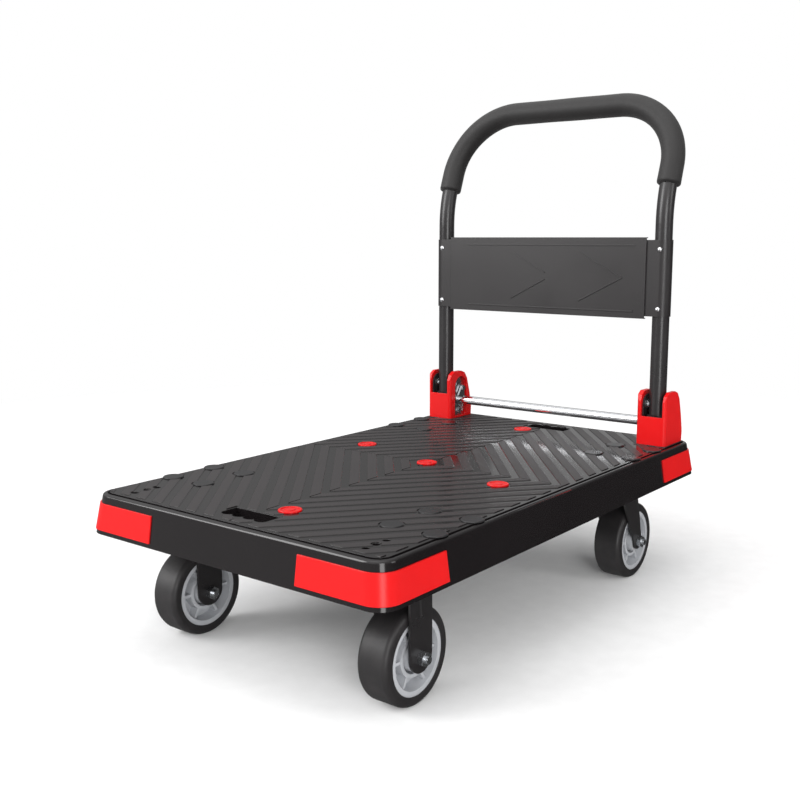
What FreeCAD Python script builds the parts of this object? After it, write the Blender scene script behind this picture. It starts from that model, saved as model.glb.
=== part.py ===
import FreeCAD, Part
import math
import os
import re

import Sketcher

# Folding platform cart, in millimetres.
# +X across the cart to the right, +Y along it towards the handle, +Z up, floor at Z = 0.
# The origin is on the floor under the middle of the deck.

doc = FreeCAD.newDocument("FoldingPlatformCart")
cart = doc.addObject("Spreadsheet::Sheet", "cart")
Vector = FreeCAD.Vector

sizes = [
    # deck
    ("deckWidth", 520, "across the skirt at the lower edge of the bumpers"),
    ("deckLength", 852, "along the skirt at the same height"),
    ("deckCorner", 27, "plan radius of the corners"),
    ("deckTop", 219, "height of the flat field between the treads"),
    ("rimDrop", 1, "rim below the flat field"),
    ("rimRound", 4, "rounding of the rim"),
    ("rimLip", 6, "width of the rim"),
    ("rimGroove", 3, "width of the groove inside the rim"),
    ("rimGrooveDepth", 3, "depth of that groove"),
    ("skirtDrop", 55, "flat field down to the lower edge of the skirt"),
    ("draftAngle", 8.4, "slope of the skirt in degrees"),
    ("skirtThick", 4, "wall of the skirt"),
    ("deckThick", 7, "wall of the deck top"),
    ("webThick", 3, "ribs under the deck"),
    ("webPitch", 80, "spacing of the ribs under the deck"),
    ("webLift", 18, "ribs above the lower edge of the skirt"),
    ("treadPitch", 40, "spacing of the treads along Y"),
    ("treadSlope", 1.2, "steepness of the treads"),
    ("treadRise", 1, "height of a tread"),
    ("treadWide", 23.2, "width of a tread along the cart"),
    ("treadSide", 1.2, "width of a tread's slanted side"),
    ("treadMargin", 6, "plain strip beside the rim groove"),
    ("treadSeam", 2, "gap on the two middle lines"),
    ("treadClear", 2, "plain ring round caps, studs and slots"),
    # bumpers
    ("bumperLift", 6, "bumpers above the lower edge of the skirt"),
    ("bumperTall", 36, "height of a bumper"),
    ("bumperProud", 1.8, "how far they stand out of the skirt"),
    ("bumperSeat", 1.4, "how deep they sit in the skirt"),
    ("bumperAcross", 130, "reach along X from the corner"),
    ("bumperFront", 119, "reach along Y at the front"),
    ("bumperRear", 133, "reach along Y at the rear"),
    # studs, caps, slots and holes
    ("studRound", 15.5, "radius of a grip stud"),
    ("studRise", 2.4, "height of a grip stud"),
    ("studEdge", 1.1, "rounding of its edge"),
    ("studRing", 3.5, "width of its outer ring"),
    ("studMiddle", 6.5, "radius of its raised middle"),
    ("studDish", 0.8, "depth of the dish between them"),
    ("studStem", 4, "radius of its stem"),
    ("studStemLong", 9, "length of its stem"),
    ("studNearX", 27, "place of the end studs"),
    ("studNearIn", 99, "end studs in from the end"),
    ("studFarIn", 98, "side studs in from the side"),
    ("studFarY", 51, "place of the side studs"),
    ("capRound", 15, "radius of a bolt cap"),
    ("capRise", 2, "height of a bolt cap"),
    ("capEdge", 1, "chamfer of a bolt cap"),
    ("capStem", 4, "length of its plug"),
    ("slotLong", 78, "length of a finger slot"),
    ("slotIn", 69, "near edge of a slot in from the end"),
    ("slotDeep", 20, "near edge of a slot to the centres of its scallops"),
    ("slotScallop", 11, "radius of a scallop"),
    ("slotCollar", 24, "depth of the collar round a slot"),
    ("tieHoleInX", 56, "tie holes in from the side"),
    ("tieHoleInY", 55.5, "middle tie hole in from the front"),
    ("tieHoleStep", 18.5, "spacing of the tie holes"),
    ("tieHoleRound", 4.5, "radius of a tie hole"),
    # castors
    ("castorInX", 72.5, "middle plane of the wheels in from the side"),
    ("castorInY", 165.75, "castor bolt groups in from the end"),
    ("castorOffset", 40, "axle behind the swivel axis"),
    ("boltGroupIn", 58, "castor bolt groups in from the side"),
    ("boltStepX", 65, "bolt spacing across"),
    ("boltStepY", 77, "bolt spacing along"),
    ("boltRound", 4, "radius of a castor bolt"),
    ("boltHeadFlats", 13, "across the flats of an M8 head"),
    ("boltHeadHigh", 5.3, "height of that head"),
    ("nutHigh", 6.5, "height of an M8 nut"),
    ("boltTail", 2, "thread beyond an M8 nut"),
    ("holeClear", 0.2, "radial clearance of a bolt hole"),
    ("wellRound", 9, "radius of a bolt well"),
    ("wellDrop", 23, "flat field down to the floor of a bolt well"),
    ("bossDrop", 6, "depth of the bosses under the hinge brackets"),
    ("padLift", 8, "castor plates' seats above the lower edge of the skirt"),
    ("padThick", 8, "thickness of a castor pad"),
    ("padMargin", 8, "castor pad beyond its plate, along the cart"),
    ("plateThick", 3, "thickness of a castor plate"),
    ("plateEdge", 14, "plate beyond its bolts"),
    ("wheelRound", 62.5, "radius of a wheel"),
    ("wheelWide", 46, "width of a tyre"),
    ("tyreShoulder", 7, "rounding of the tyre"),
    ("tyreThick", 13.5, "thickness of a tyre"),
    ("hubRimWide", 43, "width of the hub rim"),
    ("hubRimThick", 9, "thickness of the hub rim"),
    ("hubWeb", 6, "thickness of the hub web"),
    ("hubRimFlare", 2, "how much wider the rim opens at its faces"),
    ("collarRound", 27, "outer radius of the hub collar"),
    ("collarIn", 22, "inner radius of the hub collar"),
    ("collarWide", 35, "width of the hub collar"),
    ("hubRibHigh", 33, "width across the hub ribs"),
    ("hubRibThick", 4, "thickness of a hub rib"),
    ("hubRibs", 6, "number of hub ribs"),
    ("bossRound", 17.5, "radius of the hub boss"),
    ("bossWide", 48, "width of the hub boss"),
    ("bearingRound", 13, "outer radius of a bearing"),
    ("bearingWide", 8, "width of a bearing"),
    ("bearingLand", 4, "land that a bearing's outer ring rests on"),
    ("axleRound", 5, "radius of the axle bolt"),
    ("runClear", 0.05, "radial running clearance"),
    ("axleFlats", 17, "across the flats of an M10 head"),
    ("axleHeadHigh", 6.4, "height of the axle head"),
    ("axleNutHigh", 8, "height of the axle nut"),
    ("axleTail", 4, "thread beyond the nut"),
    ("forkGap", 50, "between the legs of a fork"),
    ("forkThick", 3, "thickness of a fork leg"),
    ("rigidLegWide", 43.5, "width of a rigid leg"),
    ("gussetLow", 50, "axle up to the point of a pressed gusset"),
    ("gussetTop", 9, "half width of a gusset at the plate"),
    ("gussetPoint", 2.5, "half width of a gusset at its point"),
    ("gussetRise", 2.4, "how far a gusset stands out"),
    ("crownRound", 33, "radius of the swivel crown"),
    ("crownDrop", 11.8, "castor seat down to the top of the swivel crown"),
    ("crownThick", 4, "thickness of the swivel crown"),
    ("crownLip", 6, "height of the dust lip"),
    ("raceDrop", 8.8, "castor seat down to the lower face of the upper race"),
    ("raceRound", 26, "radius of the upper race"),
    ("ballCircle", 20, "radius of the ball circle"),
    ("ballRound", 3, "radius of a ball"),
    ("ballCount", 14, "balls in a race"),
    ("kingRound", 6, "radius of a kingpin"),
    ("kingFlats", 19, "across the flats of its nut"),
    ("kingNutHigh", 7, "height of its nut"),
    ("swivelEnd", 13.5, "radius of the axle end of a swivel leg"),
    # hinges
    ("hingeInX", 43, "middle of a handle leg in from the side"),
    ("hingeInY", 72, "pivot of the handle in from the rear"),
    ("hingeLift", 66, "pivot of the handle above the flat field"),
    ("hingePadEdge", 2, "deck pad beyond a hinge cover"),
    ("latchRoom", 8, "bracket to the inner face of a cover"),
    ("headRoom", 6, "bracket to the outer face of a cover"),
    ("coverAhead", 23, "front face of a cover before the pivot"),
    ("coverLong", 70, "length of a cover"),
    ("coverHeel", 19, "flat field up to the rearmost point of a cover"),
    ("coverWaist", 46, "flat field up to where its back leans in"),
    ("coverShoulder", 15, "depth of its rear shoulder"),
    ("coverNose", 16, "depth of its front shoulder"),
    ("coverWall", 3, "front and rear wall of a cover"),
    ("sillDrop", 17.5, "pivot down to the top of a cover's front wall"),
    ("coverRise", 24, "pivot up to the top of a cover"),
    ("coverRound", 6, "rounding of its front corners"),
    ("bushRoom", 2.2, "handle tube to a bracket cheek"),
    ("bracketThick", 2.8, "thickness of a bracket"),
    ("bracketArch", 18, "radius of a bracket cheek round the pivot"),
    ("bracketBehind", 32, "pivot to the rear end of a bracket base"),
    ("boltNearAhead", 3, "front bracket bolt before the pivot"),
    ("boltFarBehind", 22, "rear bracket bolt behind the pivot"),
    ("pivotRound", 5, "radius of the pivot bolt"),
    ("pivotHeadRound", 8.5, "radius of its head"),
    ("pivotHeadHigh", 3, "height of its head"),
    ("headClear", 0.45, "clearance round its head in the cover"),
    ("bushWall", 1.5, "wall of the pivot bush"),
    ("bushFlange", 9.5, "radius of the bush flange"),
    ("sideClear", 0.3, "gap beside parts that swing"),
    ("archBehind", 11.5, "middle of the latch opening behind the pivot"),
    ("archDrop", 5.5, "centre of its round top below the pivot"),
    ("archRound", 19, "radius of its round top"),
    ("archSill", 3, "sill below the latch opening"),
    # handle
    ("tubeRound", 14, "radius of the tube"),
    ("tubeWall", 1.5, "wall of the tube"),
    ("legBelow", 16, "leg below the pivot"),
    ("straightLong", 299, "pivot up to where a leg leans back"),
    ("bendRound", 203, "radius of that bend"),
    ("bendAngle", 20.3, "lean of the top in degrees"),
    ("leanLong", 139.3, "leaning part, to the middle of the top bar"),
    ("cornerRound", 114, "radius of the top corners"),
    ("gripLift", 361, "pivot up to the lower end of the grip"),
    ("gripRound", 19.7, "radius of the grip"),
    ("gripFit", 0.02, "gap between grip and tube"),
    ("footRound", 26.5, "radius of the lock foot about the pivot"),
    ("footWide", 24, "width of the lock foot"),
    ("notchDepth", 2.7, "depth of the lock notch"),
    # panel
    ("panelLift", 144, "pivot up to the lower edge of the panel"),
    ("panelTall", 133, "height of the panel"),
    ("panelInset", 22, "flat face of the panel in from a leg's middle"),
    ("panelThick", 1.5, "thickness of the sheet"),
    ("panelSet", 2.4, "flat face in front of the sleeves"),
    ("panelHem", 6, "depth of its top and bottom hems"),
    ("sleeveInset", 4.2, "sleeve shorter than the panel, each end"),
    ("ridgeWide", 2, "width of an embossed line"),
    ("ridgeRise", 1, "height of an embossed line"),
    ("lineLeft", 40, "long lines in from the left edge of the flat face"),
    ("lineRight", 20, "long lines in from its right edge"),
    ("lineHigh", 13, "upper long line below the panel's upper edge"),
    ("lineLow", 11, "lower long line above the panel's lower edge"),
    ("arrowTip", 42, "tip of the closed arrow in from the right edge"),
    ("arrowLong", 80, "length of an arrow"),
    ("arrowHalf", 41, "half height of an arrow"),
    ("arrowApart", 136, "distance between the two arrows"),
    ("arrowOpen", 0.14, "share of the open arrow's length left out at its tip"),
    ("rivetRound", 4.4, "radius of a rivet head"),
    ("rivetRise", 2.42, "height of a rivet head"),
    ("rivetShank", 2.4, "radius of a rivet shank"),
    ("rivetUp", 16, "lower rivets above the panel's lower edge"),
    ("rivetDown", 20, "upper rivets below the panel's upper edge"),
    # foot release
    ("barRound", 8, "radius of the release bar"),
    ("barBehind", 9, "middle of the bar behind the pivot"),
    ("barDrop", 31, "middle of the bar below the pivot"),
    ("stubRound", 4.5, "radius of its ends"),
    ("stubReach", 7, "reach of its ends into the lock feet"),
    ("stubClear", 0.8, "clearance of its ends in their slots"),
    ("neckRound", 5.2, "radius of its necks beside the levers"),
    ("neckLong", 11, "length of a neck"),
    ("neckTaper", 3, "taper from a neck to the full bar"),
    ("leverBehind", 21.5, "pivot of the levers behind the handle's"),
    ("leverDrop", 11, "pivot of the levers below the handle's"),
    ("leverThick", 3.5, "thickness of a lever"),
    ("leverGap", 1.2, "gap between a lever and its latch plate"),
    ("leverArmRound", 6.3, "half width of a lever's arm"),
    ("leverBossRound", 8.6, "radius of its boss round the bar"),
    ("leverLobeRound", 3.2, "half width of its spring lobe"),
    ("leverLobeDrop", 14, "lever pin down to the end of the lobe"),
    ("leverFingerRound", 2.8, "half width of its front finger"),
    ("leverFingerRise", 14, "bar up to the tip of the finger"),
    ("leverPinRound", 3, "radius of a lever pin"),
    ("pinHeadRound", 5, "radius of its head"),
    ("pinHeadHigh", 1.4, "height of its head"),
    ("leverSwing", 12, "travel of the release in degrees"),
    ("latchPlate", 1.8, "thickness of a latch plate"),
    ("latchEdge", 0.4, "latch plate smaller than its opening, all round"),
    ("screwFlats", 8, "across the flats of a latch plate screw"),
    ("screwHigh", 3.2, "height of its head"),
    ("screwRound", 2.5, "radius of its shank"),
    ("screwUp", 9, "screw above the sill of the opening"),
    ("springRound", 2.2, "coil radius of a return spring"),
    ("springWire", 0.45, "wire radius of a return spring"),
    ("springTurns", 9, "turns of the spring"),
]

# Places and sizes that follow the ones above.
linked = {
    "rimTop": "deckTop - rimDrop",
    "skirtBottom": "deckTop - skirtDrop",
    "webLow": "skirtBottom + webLift",
    "bumperLow": "skirtBottom + bumperLift",
    "bumperHigh": "bumperLow + bumperTall",
    "studNearY": "deckLength / 2 - studNearIn",
    "studFarX": "deckWidth / 2 - studFarIn",
    "slotInner": "deckLength / 2 - slotIn",
    "slotScallopY": "slotInner + slotDeep",
    "tieHoleX": "deckWidth / 2 - tieHoleInX",
    "tieHoleY": "deckLength / 2 - tieHoleInY",
    "castorX": "deckWidth / 2 - castorInX",
    "castorY": "deckLength / 2 - castorInY",
    "boltGroupX": "deckWidth / 2 - boltGroupIn",
    "wellFloor": "deckTop - wellDrop",
    "padBottom": "skirtBottom + padLift",
    "crownTop": "padBottom - crownDrop",
    "raceBottom": "padBottom - raceDrop",
    "hingeX": "deckWidth / 2 - hingeInX",
    "hingeY": "deckLength / 2 - hingeInY",
    "hingeZ": "deckTop + hingeLift",
    "coverIn": "bracketGap / 2 + bracketThick + latchRoom",
    "coverOut": "bracketGap / 2 + bracketThick + headRoom",
    "coverFront": "hingeY - coverAhead",
    "coverSill": "hingeZ - sillDrop",
    "coverTop": "hingeZ + coverRise",
    "bracketGap": "2 * (tubeRound + bushRoom)",
    "bracketRear": "hingeY + bracketBehind",
    "bracketBoltNear": "hingeY - boltNearAhead",
    "bracketBoltFar": "hingeY + boltFarBehind",
    "archY": "hingeY + archBehind",
    "archZ": "hingeZ - archDrop",
    "archLow": "deckTop + treadRise + archSill",
    "legEnd": "hingeZ - legBelow",
    "bendStart": "hingeZ + straightLong",
    "gripLow": "hingeZ + gripLift",
    "panelLow": "hingeZ + panelLift",
    "panelHigh": "panelLow + panelTall",
    "panelHalf": "hingeX - panelInset",
    "rivetLow": "panelLow + rivetUp",
    "rivetHigh": "panelHigh - rivetDown",
    "barY": "hingeY + barBehind",
    "barZ": "hingeZ - barDrop",
    "leverY": "hingeY + leverBehind",
    "leverZ": "hingeZ - leverDrop",
    "hubRound": "wheelRound - tyreThick",
    "hubRimIn": "hubRound - hubRimThick",
}
for row, (name, value, note) in enumerate(sizes, 1):
    cart.set(f"A{row}", name)
    cart.set(f"B{row}", str(value))
    cart.set(f"C{row}", note)
    cart.setAlias(f"B{row}", name)
doc.recompute()
aliases = {name for name, value, note in sizes}


# ---- small helpers ----

def bound(text):
    """An expression on the sheet's names, as the document wants it. Linked names are written out."""
    def swap(found):
        word = found[0]
        if word in linked:
            return f"({bound(linked[word])})"
        return "cart." + word if word in aliases else word
    return re.sub(r"[A-Za-z]\w*", swap, text)


def num(text):
    """The present value of such an expression."""
    return float(cart.evalExpression(bound(text)))


def bind(item, **expressions):
    for prop, text in expressions.items():
        item.setExpression(prop, bound(text))
    return item


def place(item, x, y, z, turn=None):
    """Puts an object's own origin at x, y, z, after turning it (axis, degrees)."""
    if turn:
        item.Placement = FreeCAD.Placement(Vector(), FreeCAD.Rotation(Vector(*turn[0]), turn[1]))
    for key, text in (("x", x), ("y", y), ("z", z)):
        item.setExpression("Placement.Base." + key, bound(text))
    return item


def block(name, low, high):
    """A box between two corners, each three expressions."""
    item = doc.addObject("Part::Box", name)
    span = [f"({b}) - ({a})" for a, b in zip(low, high)]
    bind(item, Length=span[0], Width=span[1], Height=span[2])
    return place(item, *low)


turns = {"x": ((0, 1, 0), 90), "y": ((1, 0, 0), -90), "z": None}


def rod(name, axis, radius, length, x, y, z):
    """A cylinder that starts at x, y, z and runs along the axis."""
    item = doc.addObject("Part::Cylinder", name)
    bind(item, Radius=radius, Height=length)
    return place(item, x, y, z, turns[axis])


def hexagon(name, axis, flats, length, x, y, z):
    """A hexagonal prism. An upright one has its flats towards X."""
    item = doc.addObject("Part::Prism", name)
    item.Polygon = 6
    bind(item, Circumradius=f"({flats}) / sqrt(3)", Height=length)
    return place(item, x, y, z, turns[axis] or ((0, 0, 1), 30))


def fuse(name, items):
    item = doc.addObject("Part::MultiFuse", name)
    item.Shapes = items
    return item


def cut(name, base, tool):
    item = doc.addObject("Part::Cut", name)
    item.Base = base
    item.Tool = tool
    return item


def common(name, items):
    item = doc.addObject("Part::MultiCommon", name)
    item.Shapes = items
    return item


def group(name, items):
    item = doc.addObject("Part::Compound", name)
    item.Links = items
    return item


def mirror(name, source):
    """The left-hand copy of a right-hand piece."""
    item = doc.addObject("Part::Mirroring", name)
    item.Source = source
    item.Normal = Vector(1, 0, 0)
    return item


def shaped(name, shape):
    item = doc.addObject("Part::Feature", name)
    item.Shape = shape
    return item


def capsule(name, radius, xLow, xHigh, ends):
    """A flat bar across X with round ends, between two (y, z) points."""
    (y0, z0), (y1, z1) = ends
    span = f"({xHigh}) - ({xLow})"
    caps = [rod(f"{name}End{i}", "x", radius, span, xLow, y, z) for i, (y, z) in enumerate(ends)]
    dy = num(y1) - num(y0)
    dz = num(z1) - num(z0)
    middle = Part.makeBox(num(span), math.hypot(dy, dz), 2 * num(radius), Vector(0, 0, -num(radius)))
    bar = shaped(name + "Bar", middle)
    turn = FreeCAD.Rotation(Vector(1, 0, 0), math.degrees(math.atan2(dz, dy)))
    bar.Placement = FreeCAD.Placement(Vector(num(xLow), num(y0), num(z0)), turn)
    return fuse(name, caps + [bar])


nodes = {}


def node(name, item):
    """Registers a finished piece. Its label is its file name."""
    item.Label = name
    nodes[name] = item
    return item


# ---- sketches and bodies ----

def newBody(name):
    return doc.addObject("PartDesign::Body", name)


def origin(body, role):
    return next(f for f in body.Origin.OriginFeatures if f.Role == role)


def sketch(body, name, role, offset="0"):
    item = body.newObject("Sketcher::SketchObject", name)
    item.AttachmentSupport = (origin(body, role), [""])
    item.MapMode = "FlatFace"
    item.setExpression("AttachmentOffset.Base.z", bound(offset))
    return item


def tie(item, geometry, point, x, y):
    """Holds one point of a sketch at x, y from its origin."""
    for kind, text in (("DistanceX", x), ("DistanceY", y)):
        index = item.addConstraint(Sketcher.Constraint(kind, -1, 1, geometry, point, num(text)))
        item.setExpression(f"Constraints[{index}]", bound(text))


def polygon(item, corners):
    spots = [Vector(num(x), num(y), 0) for x, y in corners]
    count = len(spots)
    first = item.GeometryCount
    for i in range(count):
        item.addGeometry(Part.LineSegment(spots[i], spots[(i + 1) % count]), False)
    for i in range(count):
        item.addConstraint(Sketcher.Constraint("Coincident", first + i, 2, first + (i + 1) % count, 1))
    for i, (x, y) in enumerate(corners):
        tie(item, first + i, 1, x, y)


def circle(item, x, y, radius):
    index = item.addGeometry(Part.Circle(Vector(num(x), num(y), 0), Vector(0, 0, 1), num(radius)), False)
    tie(item, index, 3, x, y)
    limit = item.addConstraint(Sketcher.Constraint("Radius", index, num(radius)))
    item.setExpression(f"Constraints[{limit}]", bound(radius))


def pad(body, name, profile, length, both=False):
    item = body.newObject("PartDesign::Pad", name)
    item.Profile = profile
    item.Midplane = both
    bind(item, Length=length)
    return item


def pocket(body, name, profile, length, back=False, both=False):
    item = body.newObject("PartDesign::Pocket", name)
    item.Profile = profile
    item.Midplane = both
    item.Reversed = back
    bind(item, Length=length)
    return item


def revolve(body, name, profile, axis):
    item = body.newObject("PartDesign::Revolution", name)
    item.Profile = profile
    item.ReferenceAxis = (origin(body, axis), [""])
    item.Angle = 360
    return item


def roundEdges(body, name, base, chosen, radius):
    """A fillet on the edges of a feature that a test picks."""
    doc.recompute()
    names = [f"Edge{i}" for i, edge in enumerate(base.Shape.Edges, 1) if chosen(edge)]
    item = body.newObject("PartDesign::Fillet", name)
    item.Base = (base, names)
    bind(item, Radius=radius)
    return item


# ---- the drafted skin that the deck and its bumpers share ----

def roundedRect(halfX, halfY, radius, z):
    """A wire of four sides and four corner arcs."""
    edges = []
    last = None
    for quarter, (sx, sy) in enumerate([(1, 1), (-1, 1), (-1, -1), (1, -1)]):
        middle = Vector(sx * (halfX - radius), sy * (halfY - radius), z)
        a, b, c = [math.radians(90 * quarter + step) for step in (0, 45, 90)]
        points = [middle + Vector(math.cos(t), math.sin(t), 0) * radius for t in (a, b, c)]
        if last:
            edges.append(Part.LineSegment(last, points[0]).toShape())
        edges.append(Part.Arc(*points).toShape())
        last = points[2]
    edges.append(Part.LineSegment(last, edges[0].Vertexes[0].Point).toShape())
    return Part.Wire(edges)


def outline(z, grow=0.0):
    """The deck's outline at a height, grown all round."""
    drop = (z - num("bumperLow")) * math.tan(math.radians(num("draftAngle")))
    halfX = num("deckWidth") / 2 - drop + grow
    halfY = num("deckLength") / 2 - drop + grow
    return roundedRect(halfX, halfY, num("deckCorner") + grow, z)


def skin(low, high, grow=0.0):
    return Part.makeLoft([outline(low, grow), outline(high, grow)], True, True)


def plate(inset, low, high):
    """A straight-sided plate inside the rim."""
    drop = (num("rimTop") - num("bumperLow")) * math.tan(math.radians(num("draftAngle")))
    halfX = num("deckWidth") / 2 - drop - inset
    halfY = num("deckLength") / 2 - drop - inset
    face = Part.Face(roundedRect(halfX, halfY, max(num("deckCorner") - inset, 2), low))
    return face.extrude(Vector(0, 0, high - low))


def cornerBox(sx, sy, low, high):
    """The part of the skirt that one bumper wraps."""
    reachY = num("bumperRear") if sy > 0 else num("bumperFront")
    x = sorted([sx * (num("deckWidth") / 2 - num("bumperAcross")), sx * num("deckWidth")])
    y = sorted([sy * (num("deckLength") / 2 - reachY), sy * num("deckLength")])
    return Part.makeBox(x[1] - x[0], y[1] - y[0], high - low, Vector(x[0], y[0], low))


def boxOf(x, y, z):
    """A plain box from three (low, high) pairs."""
    return Part.makeBox(x[1] - x[0], y[1] - y[0], z[1] - z[0], Vector(x[0], y[0], z[0]))


def post(radius, x, y, low, high):
    return Part.makeCylinder(radius, high - low, Vector(x, y, low))


corners = [("front_left", -1, -1), ("front_right", 1, -1), ("rear_left", -1, 1), ("rear_right", 1, 1)]
boltSpots = []
for name, sx, sy in corners:
    for across in (-0.5, 0.5):
        for along in (-0.5, 0.5):
            x = sx * num("boltGroupX") + across * num("boltStepX")
            y = sy * num("castorY") + along * num("boltStepY")
            boltSpots.append((x, y))
studSpots = [
    (0, 0),
    (num("studNearX"), -num("studNearY")),
    (-num("studNearX"), num("studNearY")),
    (-num("studFarX"), num("studFarY")),
    (num("studFarX"), -num("studFarY")),
]
tieSpots = [
    (sx * num("tieHoleX"), -num("tieHoleY") + step * num("tieHoleStep"))
    for sx in (-1, 1) for step in (-1, 0, 1)
]
bracketSpots = [
    (sx * num("hingeX"), y) for sx in (-1, 1) for y in (num("bracketBoltNear"), num("bracketBoltFar"))
]
treadTop = num("deckTop") + num("treadRise")
ceiling = num("deckTop") - num("deckThick")


# ---- deck ----

def slotShape(grow, low, high):
    """A finger slot: a straight near edge and a scalloped far edge."""
    half = num("slotLong") / 2 + grow
    near = num("slotInner") - grow
    middle = num("slotScallopY")
    radius = num("slotScallop") + grow
    body = boxOf((-half, half), (near, middle), (low, high))
    count = 4
    pitch = num("slotLong") / count
    for i in range(count):
        x = (i - (count - 1) / 2) * pitch
        body = body.fuse(post(radius, x, middle, low, high))
    body = body.common(boxOf((-half, half), (near, middle + radius + 1), (low, high)))
    return body.removeSplitter()


def bothSlots(grow, low, high):
    rear = slotShape(grow, low, high)
    front = rear.mirror(Vector(), Vector(0, 1, 0))
    return [front, rear]


def treads():
    """Low slanted bars with flat tops in each quarter, which meet as diamonds on the two middle lines."""
    drop = (num("rimTop") - num("bumperLow")) * math.tan(math.radians(num("draftAngle")))
    edge = num("rimLip") + num("rimGroove") + num("treadMargin")
    farX = num("deckWidth") / 2 - drop - edge
    farY = num("deckLength") / 2 - drop - edge
    seam = num("treadSeam") / 2
    slope = num("treadSlope")
    pitch = num("treadPitch")
    side = num("treadSide")
    low = ceiling + num("deckThick") / 2
    count = int((slope * farX + farY) / pitch) + 1
    bars = []
    for step in range(count):
        near = step * pitch
        far = near + num("treadWide")
        spots = [
            Vector(0, near, low), Vector(0, near, num("deckTop")), Vector(0, near + side, treadTop),
            Vector(0, far - side, treadTop), Vector(0, far, num("deckTop")), Vector(0, far, low),
        ]
        bars.append(Part.Face(Part.makePolygon(spots + spots[:1])).extrude(Vector(farX, -slope * farX, 0)))
    quarter = Part.makeCompound(bars).common(boxOf((seam, farX), (seam, farY), (low, treadTop)))
    bars = [quarter, quarter.mirror(Vector(), Vector(1, 0, 0))]
    bars += [bar.mirror(Vector(), Vector(0, 1, 0)) for bar in bars]
    clear = num("treadClear")
    tools = [post(num("capRound") + clear, x, y, low - 1, treadTop + 1) for x, y in boltSpots]
    tools += [post(num("studRound") + clear, x, y, low - 1, treadTop + 1) for x, y in studSpots]
    tools += [post(num("tieHoleRound") + clear, x, y, low - 1, treadTop + 1) for x, y in tieSpots]
    tools += bothSlots(2 * clear, low - 1, treadTop + 1)
    return Part.makeCompound(bars).cut(Part.makeCompound(tools))


def hingePads():
    """Flat seats for the hinge brackets, level with the treads."""
    edge = num("hingePadEdge")
    pads = []
    for sx in (-1, 1):
        inner = num("hingeX") - num("coverIn") - edge
        outer = num("hingeX") + num("coverOut") + edge
        x = sorted([sx * inner, sx * outer])
        y = (num("coverFront") - edge, num("coverFront + coverLong") + edge)
        pads.append(boxOf(x, y, (ceiling + 1, treadTop)))
    return pads


def underside():
    """Castor pads, bolt bosses, slot collars and a grid of ribs below the deck top."""
    low = num("padBottom")
    solids = []
    for name, sx, sy in corners:
        reach = [num("boltStepX / 2 + plateEdge"), num("boltStepY / 2 + plateEdge + padMargin")]
        x = (sx * num("boltGroupX") - reach[0], sx * num("boltGroupX") + reach[0])
        y = (sy * num("castorY") - reach[1], sy * num("castorY") + reach[1])
        if sy < 0:
            y = (y[0] - num("padMargin"), y[1])
        solids.append(boxOf(x, y, (low, low + num("padThick"))))
        for edgeX in x:
            wall = (edgeX - num("webThick") / 2, edgeX + num("webThick") / 2)
            solids.append(boxOf(wall, y, (low, ceiling + 1)))
    for x, y in boltSpots:
        solids.append(post(num("wellRound") + num("webThick"), x, y, low, ceiling + 1))
    for x, y in bracketSpots:
        solids.append(post(num("wellRound"), x, y, ceiling - num("bossDrop"), ceiling + 1))
    solids += bothSlots(num("webThick"), ceiling - num("slotCollar"), ceiling + 1)
    half = num("webThick") / 2
    farX = num("deckWidth") / 2
    farY = num("deckLength") / 2
    webLow = num("webLow")
    countX = int(farX / num("webPitch"))
    countY = int(farY / num("webPitch"))
    for i in range(-countX, countX + 1):
        x = i * num("webPitch")
        solids.append(boxOf((x - half, x + half), (-farY, farY), (webLow, ceiling + 1)))
    for i in range(-countY, countY + 1):
        y = i * num("webPitch")
        solids.append(boxOf((-farX, farX), (y - half, y + half), (webLow, ceiling + 1)))
    whole = solids[0].multiFuse(solids[1:])
    inside = skin(num("skirtBottom"), ceiling + 1, -num("skirtThick") / 2)
    return whole.common(inside)


def deckShell():
    low = num("skirtBottom")
    high = num("rimTop")
    outer = skin(low, high)
    rim = [e for e in outer.Edges if all(abs(v.Z - high) < 1e-6 for v in e.Vertexes)]
    outer = outer.makeFillet(num("rimRound"), rim)
    seatRing = skin(num("bumperLow"), num("bumperHigh"), 20).cut(
        skin(num("bumperLow"), num("bumperHigh"), -num("bumperSeat")))
    for name, sx, sy in corners:
        outer = outer.cut(seatRing.common(cornerBox(sx, sy, num("bumperLow"), num("bumperHigh"))))
    hollow = skin(low - 1, ceiling, -num("skirtThick"))
    grooveLow = num("rimTop") - num("rimGrooveDepth")
    groove = plate(num("rimLip"), grooveLow, high + 1).cut(
        plate(num("rimLip") + num("rimGroove"), grooveLow - 1, high + 2))
    field = plate(num("rimLip") + num("rimGroove"), grooveLow, num("deckTop"))
    shell = outer.cut([hollow, groove])
    shell = shell.multiFuse([underside(), field] + treads().Solids + hingePads())
    tools = bothSlots(0, low - 1, treadTop + 1)
    clear = num("holeClear")
    for x, y in boltSpots:
        tools.append(post(num("boltRound") + clear, x, y, low, treadTop))
        tools.append(post(num("wellRound"), x, y, num("wellFloor"), treadTop + 1))
    for x, y in studSpots:
        tools.append(post(num("studStem"), x, y, low, treadTop))
    for x, y in tieSpots:
        tools.append(post(num("tieHoleRound"), x, y, low, treadTop + 1))
    for x, y in bracketSpots:
        tools.append(post(num("boltRound") + clear, x, y, low, treadTop + 1))
        tools.append(post(num("wellRound"), x, y, low, ceiling - num("bossDrop")))
    return shell.cut(tools).removeSplitter()


node("deck_shell", shaped("DeckShell", deckShell()))

for name, sx, sy in corners:
    low = num("bumperLow")
    high = num("bumperHigh")
    ring = skin(low, high, num("bumperProud")).cut(skin(low - 1, high + 1, -num("bumperSeat")))
    bumper = ring.common(cornerBox(sx, sy, low, high))
    node("corner_bumper_" + name, shaped("Bumper", bumper))


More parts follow.
